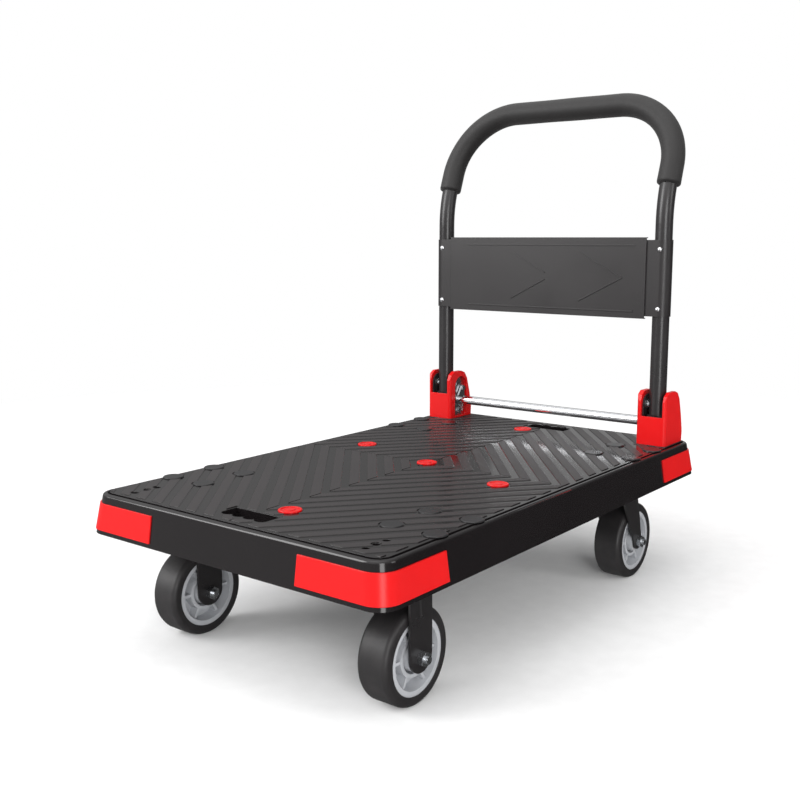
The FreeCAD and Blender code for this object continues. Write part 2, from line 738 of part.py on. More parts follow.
def rimEdges(shape, level):
    """The full circles of a shape at one height."""
    return [e for e in shape.Edges if len(e.Vertexes) == 1 and abs(e.Vertexes[0].Z - level) < 1e-6]


def studShape(x, y):
    """A dished button with a raised middle, on a stem."""
    base = num("deckTop")
    top = base + num("studRise")
    radius = num("studRound")
    button = post(radius, x, y, base, top)
    button = button.makeFillet(num("studEdge"), rimEdges(button, top))
    low = top - num("studDish")
    dish = post(radius - num("studRing"), x, y, low, top + 1)
    dish = dish.cut(post(num("studMiddle"), x, y, low, top + 1))
    stem = post(num("studStem"), x, y, base - num("studStemLong"), base)
    return button.cut(dish).fuse(stem).removeSplitter()


def capShape(x, y):
    """A flat cap whose stem plugs the bolt well."""
    base = num("deckTop")
    cap = post(num("capRound"), x, y, base, base + num("capRise"))
    top = base + num("capRise")
    cap = cap.makeChamfer(num("capEdge"), rimEdges(cap, top))
    return cap.fuse(post(num("wellRound"), x, y, base - num("capStem"), base)).removeSplitter()


node("red_grip_studs", shaped("GripStuds", Part.makeCompound([studShape(x, y) for x, y in studSpots])))
node("castor_bolt_caps", shaped("BoltCaps", Part.makeCompound([capShape(x, y) for x, y in boltSpots])))


# ---- fasteners ----

def bolt(name, x, y, headLow, headHigh, shankHigh):
    """A bolt that points up, with its head below."""
    head = hexagon(name + "Head", "z", "boltHeadFlats", f"({headHigh}) - ({headLow})", x, y, headLow)
    shank = rod(name + "Shank", "z", "boltRound", f"({shankHigh}) - ({headHigh})", x, y, headHigh)
    return fuse(name, [head, shank])


def nut(name, x, y, low):
    """A nut on a vertical bolt."""
    body = hexagon(name + "Body", "z", "boltHeadFlats", "nutHigh", x, y, low)
    hole = rod(name + "Hole", "z", "boltRound", "nutHigh", x, y, low)
    return cut(name, body, hole)


castorBolts = []
castorNuts = []
for i, (cx, cy) in enumerate([(sx, sy) for name, sx, sy in corners]):
    for j, (ax, ay) in enumerate([(-1, -1), (1, -1), (-1, 1), (1, 1)]):
        x = f"{cx} * boltGroupX + {ax} * boltStepX / 2"
        y = f"{cy} * castorY + {ay} * boltStepY / 2"
        plateLow = "padBottom - plateThick"
        castorBolts.append(bolt(f"CastorBolt{i}{j}", x, y, f"{plateLow} - boltHeadHigh", plateLow,
                                "wellFloor + nutHigh + boltTail"))
        castorNuts.append(nut(f"CastorNut{i}{j}", x, y, "wellFloor"))
node("castor_bolts", group("CastorBolts", castorBolts))
node("castor_nuts", group("CastorNuts", castorNuts))


# ---- hinges (the right one is drawn, the left one mirrors it) ----

def arch(item, y, z, radius, low):
    """A sketch outline with straight sides and a round top. y and z are the top's centre."""
    cy, cz, r, base = num(y), num(z), num(radius), num(low)
    corner = [Vector(cy + r, base, 0), Vector(cy + r, cz, 0), Vector(cy - r, cz, 0), Vector(cy - r, base, 0)]
    item.addGeometry(Part.LineSegment(corner[0], corner[1]), False)
    item.addGeometry(Part.Arc(corner[1], Vector(cy, cz + r, 0), corner[2]), False)
    item.addGeometry(Part.LineSegment(corner[2], corner[3]), False)
    item.addGeometry(Part.LineSegment(corner[3], corner[0]), False)
    arcStart = 1 if (item.Geometry[1].StartPoint - corner[1]).Length < 1e-6 else 2
    arcEnd = 3 - arcStart
    item.addConstraint(Sketcher.Constraint("Coincident", 0, 2, 1, arcStart))
    item.addConstraint(Sketcher.Constraint("Coincident", 1, arcEnd, 2, 1))
    item.addConstraint(Sketcher.Constraint("Coincident", 2, 2, 3, 1))
    item.addConstraint(Sketcher.Constraint("Coincident", 3, 2, 0, 1))
    tie(item, 1, 3, y, z)
    tie(item, 0, 1, f"{y} + ({radius})", low)
    tie(item, 2, 2, f"{y} - ({radius})", low)
    for point in (1, 2):
        index = item.addConstraint(Sketcher.Constraint("DistanceY", -1, 1, 1, point, cz))
        item.setExpression(f"Constraints[{index}]", bound(z))
    limit = item.addConstraint(Sketcher.Constraint("Radius", 1, r))
    item.setExpression(f"Constraints[{limit}]", bound(radius))


def rect(item, low, high):
    """A sketch rectangle between two corners, each two expressions."""
    (x0, y0), (x1, y1) = low, high
    polygon(item, [(x0, y0), (x1, y0), (x1, y1), (x0, y1)])


cheekIn = "hingeX - bracketGap / 2"
cheekOut = "hingeX + bracketGap / 2"
seat = "deckTop + treadRise"

bracket = newBody("HingeBracket")
base = sketch(bracket, "BracketBase", "XY_Plane", seat)
rect(base, (f"{cheekIn} - bracketThick", "hingeY - bracketArch"),
     (f"{cheekOut} + bracketThick", "bracketRear"))
pad(bracket, "BracketBasePad", base, "bracketThick")
for key, start in (("In", f"{cheekIn} - bracketThick"), ("Out", cheekOut)):
    side = sketch(bracket, "Cheek" + key, "YZ_Plane", start)
    arch(side, "hingeY", "hingeZ", "bracketArch", seat)
    pad(bracket, f"Cheek{key}Pad", side, "bracketThick")
stop = sketch(bracket, "StopWeb", "XY_Plane", seat)
stopFace = "hingeY - footWide / 2 - sideClear"
rect(stop, (cheekIn, f"{stopFace} - bracketThick"), (cheekOut, stopFace))
pad(bracket, "StopWebPad", stop, f"legEnd - 3 - ({seat})")
pivotHole = sketch(bracket, "PivotHole", "YZ_Plane", "hingeX")
circle(pivotHole, "hingeY", "hingeZ", "pivotRound")
pocket(bracket, "PivotHolePocket", pivotHole, "bracketGap + 4 * bracketThick", both=True)
baseHoles = sketch(bracket, "BaseHoles", "XY_Plane", seat)
for y in ("bracketBoltNear", "bracketBoltFar"):
    circle(baseHoles, "hingeX", y, "boltRound + holeClear")
pocket(bracket, "BaseHolesPocket", baseHoles, "4 * bracketThick", both=True)

reach = math.hypot(num("barY - leverY"), num("barZ - leverZ"))
turned = math.radians(num("leverSwing")) + math.atan2(num("barZ - leverZ"), num("barY - leverY"))
pressedY = f"leverY + {reach * math.cos(turned):.3f}"
pressedZ = f"leverZ + {reach * math.sin(turned):.3f}"
stubPath = [("barY", "barZ"), (pressedY, pressedZ)]
slotStart = f"{cheekIn} - 2 * bracketThick - latchRoom"
stubSlot = capsule("BracketSlot", "stubRound + stubClear", slotStart, "hingeX", stubPath)
bracketCut = cut("BracketRight", bracket, stubSlot)
node("hinge_bracket_right", bracketCut)
node("hinge_bracket_left", mirror("BracketLeft", bracketCut))

cover = newBody("HingeCover")
side = sketch(cover, "CoverSide", "YZ_Plane", "hingeX - coverIn")
polygon(side, [
    ("coverFront", seat),
    ("coverFront + coverLong - 1", seat),
    ("coverFront + coverLong", "deckTop + coverHeel"),
    ("coverFront + coverLong - 6", "deckTop + coverWaist"),
    ("coverFront + coverLong - 15", "coverTop - coverShoulder"),
    ("coverFront + coverLong - 23", "coverTop - 4"),
    ("coverFront + coverLong - 34", "coverTop"),
    ("coverFront + coverNose - 2", "coverTop"),
    ("coverFront + 4", "coverTop - 6"),
    ("coverFront", "coverTop - coverNose"),
])
coverPad = pad(cover, "CoverPad", side, "coverIn + coverOut")


def coverFrontEdge(edge):
    low, high = sorted(v.Z for v in edge.Vertexes)
    return all(abs(v.Y - num("coverFront")) < 0.01 for v in edge.Vertexes) and high - low > 20


coverRound = roundEdges(cover, "CoverRound", coverPad, coverFrontEdge, "coverRound")
doc.recompute()
room = sketch(cover, "CoverRoom", "XY_Plane", seat)
rect(room, (f"{cheekIn} - bracketThick", "coverFront + coverWall"),
     (f"{cheekOut} + bracketThick", "bracketRear + sideClear"))
pocket(cover, "CoverRoomPocket", room, "200", back=True)
mouth = sketch(cover, "CoverMouth", "XY_Plane", "coverSill")
rect(mouth, (f"{cheekIn} - bracketThick", "coverFront - 5"),
     (f"{cheekOut} + bracketThick", "coverFront + coverWall + 5"))
pocket(cover, "CoverMouthPocket", mouth, "100", back=True)
window = sketch(cover, "LatchWindow", "YZ_Plane", "hingeX - coverIn")
arch(window, "archY", "archZ", "archRound", "archLow")
pocket(cover, "LatchWindowPocket", window, "coverIn - bracketGap / 2 - bracketThick", back=True)
headRoom = sketch(cover, "HeadRoom", "YZ_Plane", f"{cheekOut} + bracketThick")
circle(headRoom, "hingeY", "hingeZ", "pivotHeadRound + headClear")
pocket(cover, "HeadRoomPocket", headRoom, "pivotHeadHigh + headClear", back=True)
node("hinge_cover_right", cover)
node("hinge_cover_left", mirror("CoverLeft", cover))

pivotHead = rod("PivotHead", "x", "pivotHeadRound", "pivotHeadHigh", f"{cheekOut} + bracketThick",
                "hingeY", "hingeZ")
pivotShank = rod("PivotShank", "x", "pivotRound", "bracketGap + 2 * bracketThick",
                 f"{cheekIn} - bracketThick", "hingeY", "hingeZ")
pivotRight = fuse("PivotRight", [pivotHead, pivotShank])
node("pivot_bolt_right", pivotRight)
node("pivot_bolt_left", mirror("PivotLeft", pivotRight))

bracketBolts = []
bracketNuts = []
bracketTop = f"{seat} + bracketThick"
for i, sx in enumerate((-1, 1)):
    for j, y in enumerate(("bracketBoltNear", "bracketBoltFar")):
        x = f"{sx} * hingeX"
        head = hexagon(f"BracketHead{i}{j}", "z", "boltHeadFlats", "boltHeadHigh", x, y, bracketTop)
        nutLow = "deckTop - deckThick - bossDrop - nutHigh"
        shank = rod(f"BracketShank{i}{j}", "z", "boltRound", f"{bracketTop} - ({nutLow}) + boltTail", x, y,
                    f"{nutLow} - boltTail")
        bracketBolts.append(fuse(f"BracketBolt{i}{j}", [head, shank]))
        bracketNuts.append(nut(f"BracketNut{i}{j}", x, y, nutLow))
node("bracket_bolts", group("BracketBolts", bracketBolts))
node("bracket_nuts", group("BracketNuts", bracketNuts))

bushRight = cut(
    "BushRight",
    fuse("BushBody", [
        rod("BushSleeve", "x", "pivotRound + runClear + bushWall", "bracketGap - 2 * sideClear",
            f"{cheekIn} + sideClear", "hingeY", "hingeZ"),
        rod("BushFlangeIn", "x", "bushFlange", "bracketGap / 2 - tubeRound - sideClear",
            f"{cheekIn} + sideClear", "hingeY", "hingeZ"),
        rod("BushFlangeOut", "x", "bushFlange", "bracketGap / 2 - tubeRound - sideClear",
            "hingeX + tubeRound", "hingeY", "hingeZ"),
    ]),
    rod("BushBore", "x", "pivotRound + runClear", "2 * bracketGap", "hingeX - bracketGap",
        "hingeY", "hingeZ"),
)
node("pivot_bush_right", bushRight)
node("pivot_bush_left", mirror("BushLeft", bushRight))


# ---- handle ----

bend = math.radians(num("bendAngle"))


def bendPoint(sx, angle):
    """A point on the bend that leans a leg back."""
    y = num("hingeY") + num("bendRound") * (1 - math.cos(angle))
    z = num("bendStart") + num("bendRound") * math.sin(angle)
    return Vector(sx * num("hingeX"), y, z)


def legEdges(sx, low):
    """The edges of one side, from a height up to the middle of the top bar."""
    lean = Vector(0, math.sin(bend), math.cos(bend))
    corner = num("cornerRound")
    if low < num("bendStart"):
        start = 0.0
        foot = Vector(sx * num("hingeX"), num("hingeY"), low)
        edges = [Part.LineSegment(foot, bendPoint(sx, 0)).toShape()]
    else:
        start = math.asin((low - num("bendStart")) / num("bendRound"))
        edges = []
    bendEnd = bendPoint(sx, bend)
    edges.append(Part.Arc(bendPoint(sx, start), bendPoint(sx, (start + bend) / 2), bendEnd).toShape())
    cornerStart = bendEnd + lean * (num("leanLong") - corner)
    edges.append(Part.LineSegment(bendEnd, cornerStart).toShape())
    middle = cornerStart + Vector(-sx * corner, 0, 0)
    half = math.sqrt(0.5) * corner
    cornerMid = middle + Vector(sx * half, 0, 0) + lean * half
    cornerEnd = middle + lean * corner
    edges.append(Part.Arc(cornerStart, cornerMid, cornerEnd).toShape())
    edges.append(Part.LineSegment(cornerEnd, Vector(0, cornerEnd.y, cornerEnd.z)).toShape())
    return edges


def bentBar(radius, low):
    """A round bar along the whole bow, from one foot height to the other."""
    halves = []
    for sx in (1, -1):
        path = Part.Wire(legEdges(sx, low))
        first = path.Edges[0]
        start = first.valueAt(first.FirstParameter)
        heading = first.tangentAt(first.FirstParameter)
        profile = Part.Wire(Part.makeCircle(radius, start, heading))
        halves.append(path.makePipeShell([profile], True, True))
    return halves[0].fuse(halves[1]).removeSplitter()


def alongX(radius, y, z, low, high):
    return Part.makeCylinder(radius, high - low, Vector(low, y, z), Vector(1, 0, 0))


def alongY(radius, x, z, low, high):
    return Part.makeCylinder(radius, high - low, Vector(x, low, z), Vector(0, 1, 0))


def handleTube():
    outer = bentBar(num("tubeRound"), num("legEnd"))
    inner = bentBar(num("tubeRound - tubeWall"), num("legEnd"))
    tools = [inner]
    hole = num("pivotRound + runClear + bushWall")
    for sx in (-1, 1):
        x = sx * num("hingeX")
        tools.append(alongX(hole, num("hingeY"), num("hingeZ"), x - 20, x + 20))
        for z in (num("rivetLow"), num("rivetHigh")):
            tools.append(alongY(num("rivetShank"), x, z, num("hingeY") - 20, num("hingeY")))
    return outer.cut(tools)


node("handle_tube", shaped("HandleTube", handleTube()))

grip = bentBar(num("gripRound"), num("gripLow")).cut(bentBar(num("tubeRound + gripFit"), num("gripLow")))
node("handle_grip", shaped("HandleGrip", grip))


def lockFoot():
    """The plug in a leg's lower end, with the lobe that the release locks behind."""
    x = num("hingeX")
    y = num("hingeY")
    z = num("hingeZ")
    low = num("legEnd")
    wide = num("footWide")
    plug = post(num("tubeRound - tubeWall"), x, y, low, z + num("tubeRound"))
    lobe = alongX(num("footRound"), y, z, x - wide / 2, x + wide / 2)
    lobe = lobe.common(boxOf((x - wide, x + wide), (y - wide / 2, y + wide / 2), (z - 40, low)))
    notch = num("stubRound + stubClear")
    reach = math.hypot(num("barY") - y, num("barZ") - z)
    share = (num("footRound - notchDepth") + notch) / reach
    notchY = y + (num("barY") - y) * share
    notchZ = z + (num("barZ") - z) * share
    foot = plug.fuse(lobe).cut([
        alongX(num("pivotRound + runClear + bushWall"), y, z, x - 30, x + 30),
        alongX(notch, notchY, notchZ, x - 30, x + 30),
    ])
    return foot.removeSplitter()


footRight = shaped("LockFootRight", lockFoot())
node("lock_foot_right", footRight)
node("lock_foot_left", mirror("LockFootLeft", footRight))


# ---- panel ----

panelFace = "hingeY - tubeRound - panelThick - panelSet"
panelParts = [
    block("PanelFlat", ("-panelHalf", panelFace, "panelLow"),
          ("panelHalf", f"{panelFace} + panelThick", "panelHigh")),
    block("PanelHemLow", ("-panelHalf", panelFace, "panelLow"),
          ("panelHalf", f"{panelFace} + panelHem", "panelLow + panelThick")),
    block("PanelHemHigh", ("-panelHalf", panelFace, "panelHigh - panelThick"),
          ("panelHalf", f"{panelFace} + panelHem", "panelHigh")),
]
sleeveLow = "panelLow + sleeveInset"
sleeveHigh = "panelHigh - sleeveInset"
for sx in (-1, 1):
    key = "Left" if sx < 0 else "Right"
    xs = sorted([f"{sx} * panelHalf", f"{sx} * (panelHalf - panelThick)"], key=num)
    panelParts.append(block("PanelStep" + key, (xs[0], panelFace, sleeveLow),
                            (xs[1], f"{panelFace} + panelSet + panelThick", sleeveHigh)))
    xs = sorted([f"{sx} * (panelHalf - panelThick)", f"{sx} * hingeX"], key=num)
    web = block("PanelWeb" + key, (xs[0], f"{panelFace} + panelSet", sleeveLow),
                (xs[1], f"{panelFace} + panelSet + panelThick", sleeveHigh))
    sleeve = rod("PanelSleeve" + key, "z", "tubeRound + panelThick", f"{sleeveHigh} - ({sleeveLow})",
                 f"{sx} * hingeX", "hingeY", sleeveLow)
    panelParts += [web, sleeve]


def ridge(name, x0, z0, x1, z1):
    """An embossed line between two places on the panel's front, half sunk in the sheet."""
    bar = doc.addObject("Part::Box", name)
    bar.Length = math.hypot(x1 - x0, z1 - z0)
    bind(bar, Width="ridgeRise + panelThick / 2", Height="ridgeWide")
    tilt = FreeCAD.Rotation(Vector(0, -1, 0), math.degrees(math.atan2(z1 - z0, x1 - x0)))
    lower = tilt.multVec(Vector(0, 0, -num("ridgeWide") / 2))
    start = Vector(x0, num(panelFace) - num("ridgeRise"), z0) + lower
    bar.Placement = FreeCAD.Placement(start, tilt)
    return bar


def tipDot(name, x, z):
    """The rounded corner where two embossed lines meet."""
    return rod(name, "y", "ridgeWide / 2", "ridgeRise + panelThick / 2", f"{x}",
               f"{panelFace} - ridgeRise", f"{z}")


for key, z in (("Low", num("panelLow + lineLow")), ("High", num("panelHigh - lineHigh"))):
    startX = num("lineLeft - panelHalf")
    panelParts.append(ridge("PanelLine" + key, startX, z, num("panelHalf - lineRight"), z))
middleZ = num("(panelLow + panelHigh) / 2")
closedTip = num("panelHalf - arrowTip")
openTip = closedTip - num("arrowApart")
for key, tipX, whole in (("Closed", closedTip, 1), ("Open", openTip, 1 - num("arrowOpen"))):
    backX = tipX - num("arrowLong")
    for side in (-1, 1):
        backZ = middleZ + side * num("arrowHalf")
        endX = backX + (tipX - backX) * whole
        endZ = backZ + (middleZ - backZ) * whole
        panelParts.append(ridge(f"PanelArrow{key}{side + 1}", backX, backZ, endX, endZ))
    if whole == 1:
        panelParts.append(tipDot("PanelArrowTip", tipX, middleZ))
panelTools = []
for sx in (-1, 1):
    key = "Left" if sx < 0 else "Right"
    x = f"{sx} * hingeX"
    panelTools.append(rod("PanelBore" + key, "z", "tubeRound", "panelHigh - panelLow", x, "hingeY",
                          "panelLow"))
    for z in ("rivetLow", "rivetHigh"):
        panelTools.append(rod(f"PanelHole{key}{z}", "y", "rivetShank", "20", x, "hingeY - 20", z))
panel = cut("HandlePanel", fuse("PanelBody", panelParts), fuse("PanelTools", panelTools))
node("handle_panel", panel)


def rivetShape(x, z):
    """A domed head and a shank through sleeve and tube."""
    face = num("hingeY - tubeRound - panelThick")
    radius = num("rivetRound")
    rise = num("rivetRise")
    ball = (radius ** 2 + rise ** 2) / (2 * rise)
    dome = Part.makeSphere(ball, Vector(x, face + ball - rise, z))
    head = dome.common(alongY(radius, x, z, face - rise - 1, face))
    shank = alongY(num("rivetShank"), x, z, face - 0.2, num("hingeY - tubeRound + tubeWall + 2"))
    return head.fuse(shank)


rivets = [rivetShape(sx * num("hingeX"), num(z)) for sx in (-1, 1) for z in ("rivetLow", "rivetHigh")]
node("panel_rivets", shaped("PanelRivets", Part.makeCompound(rivets)))


# ---- foot release ----

leverIn = "hingeX - bracketGap / 2 - bracketThick - latchPlate - leverGap - leverThick"
leverOut = f"{leverIn} + leverThick"
platePlane = "hingeX - bracketGap / 2 - bracketThick - latchPlate"

barBody = rod("BarBody", "x", "barRound", f"2 * ({leverIn} - neckLong)", f"neckLong - ({leverIn})",
              "barY", "barZ")
barNecks = rod("BarNecks", "x", "neckRound", f"2 * ({leverIn})", f"-({leverIn})", "barY", "barZ")
barTapers = []
for side, start in (("Right", f"{leverIn} - neckLong"), ("Left", f"neckLong - neckTaper - ({leverIn})")):
    taper = doc.addObject("Part::Cone", "BarTaper" + side)
    wide, narrow = ("Radius1", "Radius2") if side == "Right" else ("Radius2", "Radius1")
    bind(taper, **{wide: "barRound", narrow: "neckRound", "Height": "neckTaper"})
    barTapers.append(place(taper, start, "barY", "barZ", turns["x"]))
stubEnd = "hingeX - footWide / 2 + stubReach"
barStubs = rod("BarStubs", "x", "stubRound", f"2 * ({stubEnd})", f"-({stubEnd})", "barY", "barZ")
node("release_bar", fuse("ReleaseBar", [barBody, barNecks, barStubs] + barTapers))

leverArm = capsule("LeverArm", "leverArmRound", leverIn, leverOut, [("leverY", "leverZ"), ("barY", "barZ")])
leverBoss = rod("LeverBoss", "x", "leverBossRound", "leverThick", leverIn, "barY", "barZ")
leverLobe = capsule("LeverLobe", "leverLobeRound", leverIn, leverOut,
                    [("leverY", "leverZ"), ("leverY + 2", "leverZ - leverLobeDrop")])
leverFinger = capsule("LeverFinger", "leverFingerRound", leverIn, leverOut,
                      [("barY - barRound", "barZ + 1"), ("barY - barRound - 4.4", "barZ + leverFingerRise")])
leverHoles = fuse("LeverHoles", [
    rod("LeverPinHole", "x", "leverPinRound + runClear", "2 * leverThick", f"{leverIn} - leverThick / 2",
        "leverY", "leverZ"),
    rod("LeverStubHole", "x", "stubRound", "2 * leverThick", f"{leverIn} - leverThick / 2", "barY", "barZ"),
])
leverRight = cut("LeverRight", fuse("LeverBody", [leverArm, leverBoss, leverLobe, leverFinger]), leverHoles)
node("latch_lever_right", leverRight)
node("latch_lever_left", mirror("LeverLeft", leverRight))

latch = newBody("LatchPlate")
outlineSketch = sketch(latch, "LatchOutline", "YZ_Plane", platePlane)
arch(outlineSketch, "archY", "archZ", "archRound - latchEdge", "archLow + latchEdge")
pad(latch, "LatchPad", outlineSketch, "latchPlate")
latchHoles = sketch(latch, "LatchHoles", "YZ_Plane", platePlane)
circle(latchHoles, "leverY", "leverZ", "leverPinRound")
circle(latchHoles, "archY", "archLow + screwUp", "screwRound")
pocket(latch, "LatchHolesPocket", latchHoles, "3 * latchPlate", both=True)
latchSlot = capsule("LatchSlot", "stubRound + stubClear", f"{platePlane} - 5", "hingeX", stubPath)
pivotPeep = rod("PivotPeep", "x", "pivotRound + latchEdge", "20", f"{platePlane} - 5", "hingeY", "hingeZ")
latchRight = cut("LatchRight", latch, fuse("LatchTools", [latchSlot, pivotPeep]))
node("latch_plate_right", latchRight)
node("latch_plate_left", mirror("LatchLeft", latchRight))

latchPins = []
latchScrews = []
pinStart = f"{leverIn} - sideClear - pinHeadHigh"
for sx in (-1, 1):
    key = "Left" if sx < 0 else "Right"
    pinHead = rod("PinHead" + key, "x", "pinHeadRound", "pinHeadHigh", pinStart, "leverY", "leverZ")
    pinLong = f"{platePlane} + latchPlate - ({pinStart})"
    pinShank = rod("PinShank" + key, "x", "leverPinRound", pinLong, pinStart, "leverY", "leverZ")
    pin = fuse("LatchPin" + key, [pinHead, pinShank])
    screwHead = hexagon("ScrewHead" + key, "x", "screwFlats", "screwHigh", f"{platePlane} - screwHigh",
                        "archY", "archLow + screwUp")
    screwShank = rod("ScrewShank" + key, "x", "screwRound", "latchPlate", platePlane,
                     "archY", "archLow + screwUp")
    screw = fuse("LatchScrew" + key, [screwHead, screwShank])
    latchPins.append(pin if sx > 0 else mirror("LatchPinMirror", pin))
    latchScrews.append(screw if sx > 0 else mirror("LatchScrewMirror", screw))
node("latch_pins", group("LatchPins", latchPins))
node("latch_screws", group("LatchScrews", latchScrews))


def springShape():
    """A coil from the lever's lobe down to the foot of the latch plate."""
    x = num(f"({leverIn} + {leverOut}) / 2")
    top = Vector(x, num("leverY + 2"), num("leverZ - leverLobeDrop - leverLobeRound - sideClear"))
    low = Vector(x, num("archY + 8"), num("archLow + 7"))
    run = top - low
    helix = Part.makeHelix(run.Length / num("springTurns"), run.Length, num("springRound"))
    wireSection = Part.makeCircle(num("springWire"), Vector(num("springRound"), 0, 0), Vector(0, 1, 0))
    profile = Part.Wire(wireSection)
    coil = Part.Wire(helix.Edges).makePipeShell([profile], True, True)
    coil.Placement = FreeCAD.Placement(low, FreeCAD.Rotation(Vector(0, 0, 1), run))
    return coil


springRight = shaped("SpringRight", springShape())
node("latch_spring_right", springRight)
node("latch_spring_left", mirror("SpringLeft", springRight))


# ---- castors ----

def axleSet(name, x, y):
    """Bolt, nut and two spacers of one wheel. The nut is on the right-hand side."""
    half = "forkGap / 2 + forkThick"
    head = hexagon(name + "Head", "x", "axleFlats", "axleHeadHigh", f"{x} - ({half}) - axleHeadHigh", y,
                   "wheelRound")
    shank = rod(name + "Shank", "x", "axleRound", f"2 * ({half}) + axleNutHigh + axleTail",
                f"{x} - ({half})", y, "wheelRound")
    nutBody = hexagon(name + "Nut", "x", "axleFlats", "axleNutHigh", f"{x} + {half}", y, "wheelRound")
    nutHole = rod(name + "NutHole", "x", "axleRound", "axleNutHigh", f"{x} + {half}", y, "wheelRound")
    parts = [fuse(name + "Bolt", [head, shank]), cut(name + "NutCut", nutBody, nutHole)]
    return group(name, parts)


def tyre(name, x, y):
    body = newBody(name)
    profile = sketch(body, name + "Profile", "XY_Plane")
    rect(profile, ("-wheelWide / 2", "hubRound"), ("wheelWide / 2", "wheelRound"))
    ring = revolve(body, name + "Ring", profile, "X_Axis")

    def outerEdge(edge):
        return abs(edge.BoundBox.ZMax - num("wheelRound")) < 0.01 and edge.BoundBox.XLength < 0.01

    roundEdges(body, name + "Shoulder", ring, outerEdge, "tyreShoulder")
    return place(body, x, y, "wheelRound")


def hub(name, x, y):
    """A moulded hub: rim, web, boss and ribs, with a bearing seat at each end."""
    body = newBody(name)
    profile = sketch(body, name + "Profile", "XY_Plane")
    bearingIn = "bossWide / 2 - bearingWide - 1"
    half = [
        ("bossWide / 2", "bearingRound"), ("bossWide / 2", "bossRound"),
        ("hubWeb / 2", "bossRound + hubRimFlare"), ("hubWeb / 2", "collarIn"),
        ("collarWide / 2", "collarIn"), ("collarWide / 2", "collarRound"),
        ("hubWeb / 2", "collarRound"), ("hubWeb / 2", "hubRimIn"),
        ("hubRimWide / 2", "hubRimIn + hubRimFlare"), ("hubRimWide / 2", "hubRound"),
    ]
    polygon(profile, [("-bossWide / 2", "bearingRound"), (f"-({bearingIn})", "bearingRound"),
                      (f"-({bearingIn})", "axleRound + bearingLand"), (bearingIn, "axleRound + bearingLand"),
                      (bearingIn, "bearingRound")] + half + [(f"-({x})", y) for x, y in half[:0:-1]])
    revolve(body, name + "Turned", profile, "X_Axis")
    rib = sketch(body, name + "Rib", "XY_Plane")
    polygon(rib, [("-hubRibHigh / 2", "collarIn + 1"), ("hubRibHigh / 2", "collarIn + 1"),
                  ("hubRibHigh / 2", "hubRimIn + 1"), ("-hubRibHigh / 2", "hubRimIn + 1")])
    ribPad = pad(body, name + "RibPad", rib, "hubRibThick", both=True)
    pattern = body.newObject("PartDesign::PolarPattern", name + "Ribs")
    pattern.Originals = [ribPad]
    pattern.Axis = (origin(body, "X_Axis"), [""])
    pattern.Angle = 360
    bind(pattern, Occurrences="hubRibs")
    body.Tip = pattern
    return place(body, x, y, "wheelRound")


def bearings(name, x, y):
    rings = []
    for i, start in enumerate((f"{x} - bossWide / 2 + 1", f"{x} + bossWide / 2 - 1 - bearingWide")):
        outer = rod(f"{name}Outer{i}", "x", "bearingRound", "bearingWide", start, y, "wheelRound")
        bore = rod(f"{name}Bore{i}", "x", "axleRound + runClear", "bearingWide", start, y, "wheelRound")
        rings.append(cut(f"{name}Ring{i}", outer, bore))
    return group(name, rings)


def gussetPair(x, y):
    """A pressed gusset on the outer face of each rigid leg, wide at the plate and narrow below."""
    low = num("wheelRound + gussetLow")
    high = num("padBottom")
    solids = []
    for side in (-1, 1):
        face = x + side * num("forkGap / 2 + forkThick")
        rings = []
        for out, inset in ((-num("forkThick") / 2, 0), (num("gussetRise"), num("gussetRise"))):
            top = num("gussetTop") - inset * 0.6
            point = num("gussetPoint") - inset * 0.6
            spots = [Vector(face + side * out, y + dy, z) for dy, z in
                     ((-top, high), (top, high), (point, low + inset), (-point, low + inset))]
            rings.append(Part.makePolygon(spots + spots[:1]))
        solids.append(Part.makeLoft(rings, True, True))
    return solids


plateLow = "padBottom - plateThick"
plateX = ("boltGroupX - boltStepX / 2 - plateEdge", "boltGroupX + boltStepX / 2 + plateEdge")


def plateHoles(name, side, end):
    """Bolt holes of one castor plate. side and end are -1 or 1."""
    holes = []
    for i, (ax, ay) in enumerate([(-1, -1), (1, -1), (-1, 1), (1, 1)]):
        x = f"{side} * boltGroupX + {ax} * boltStepX / 2"
        y = f"{end} * castorY + {ay} * boltStepY / 2"
        holes.append(rod(f"{name}Hole{i}", "z", "boltRound + holeClear", "3 * plateThick", x, y,
                         f"{plateLow} - plateThick"))
    return holes


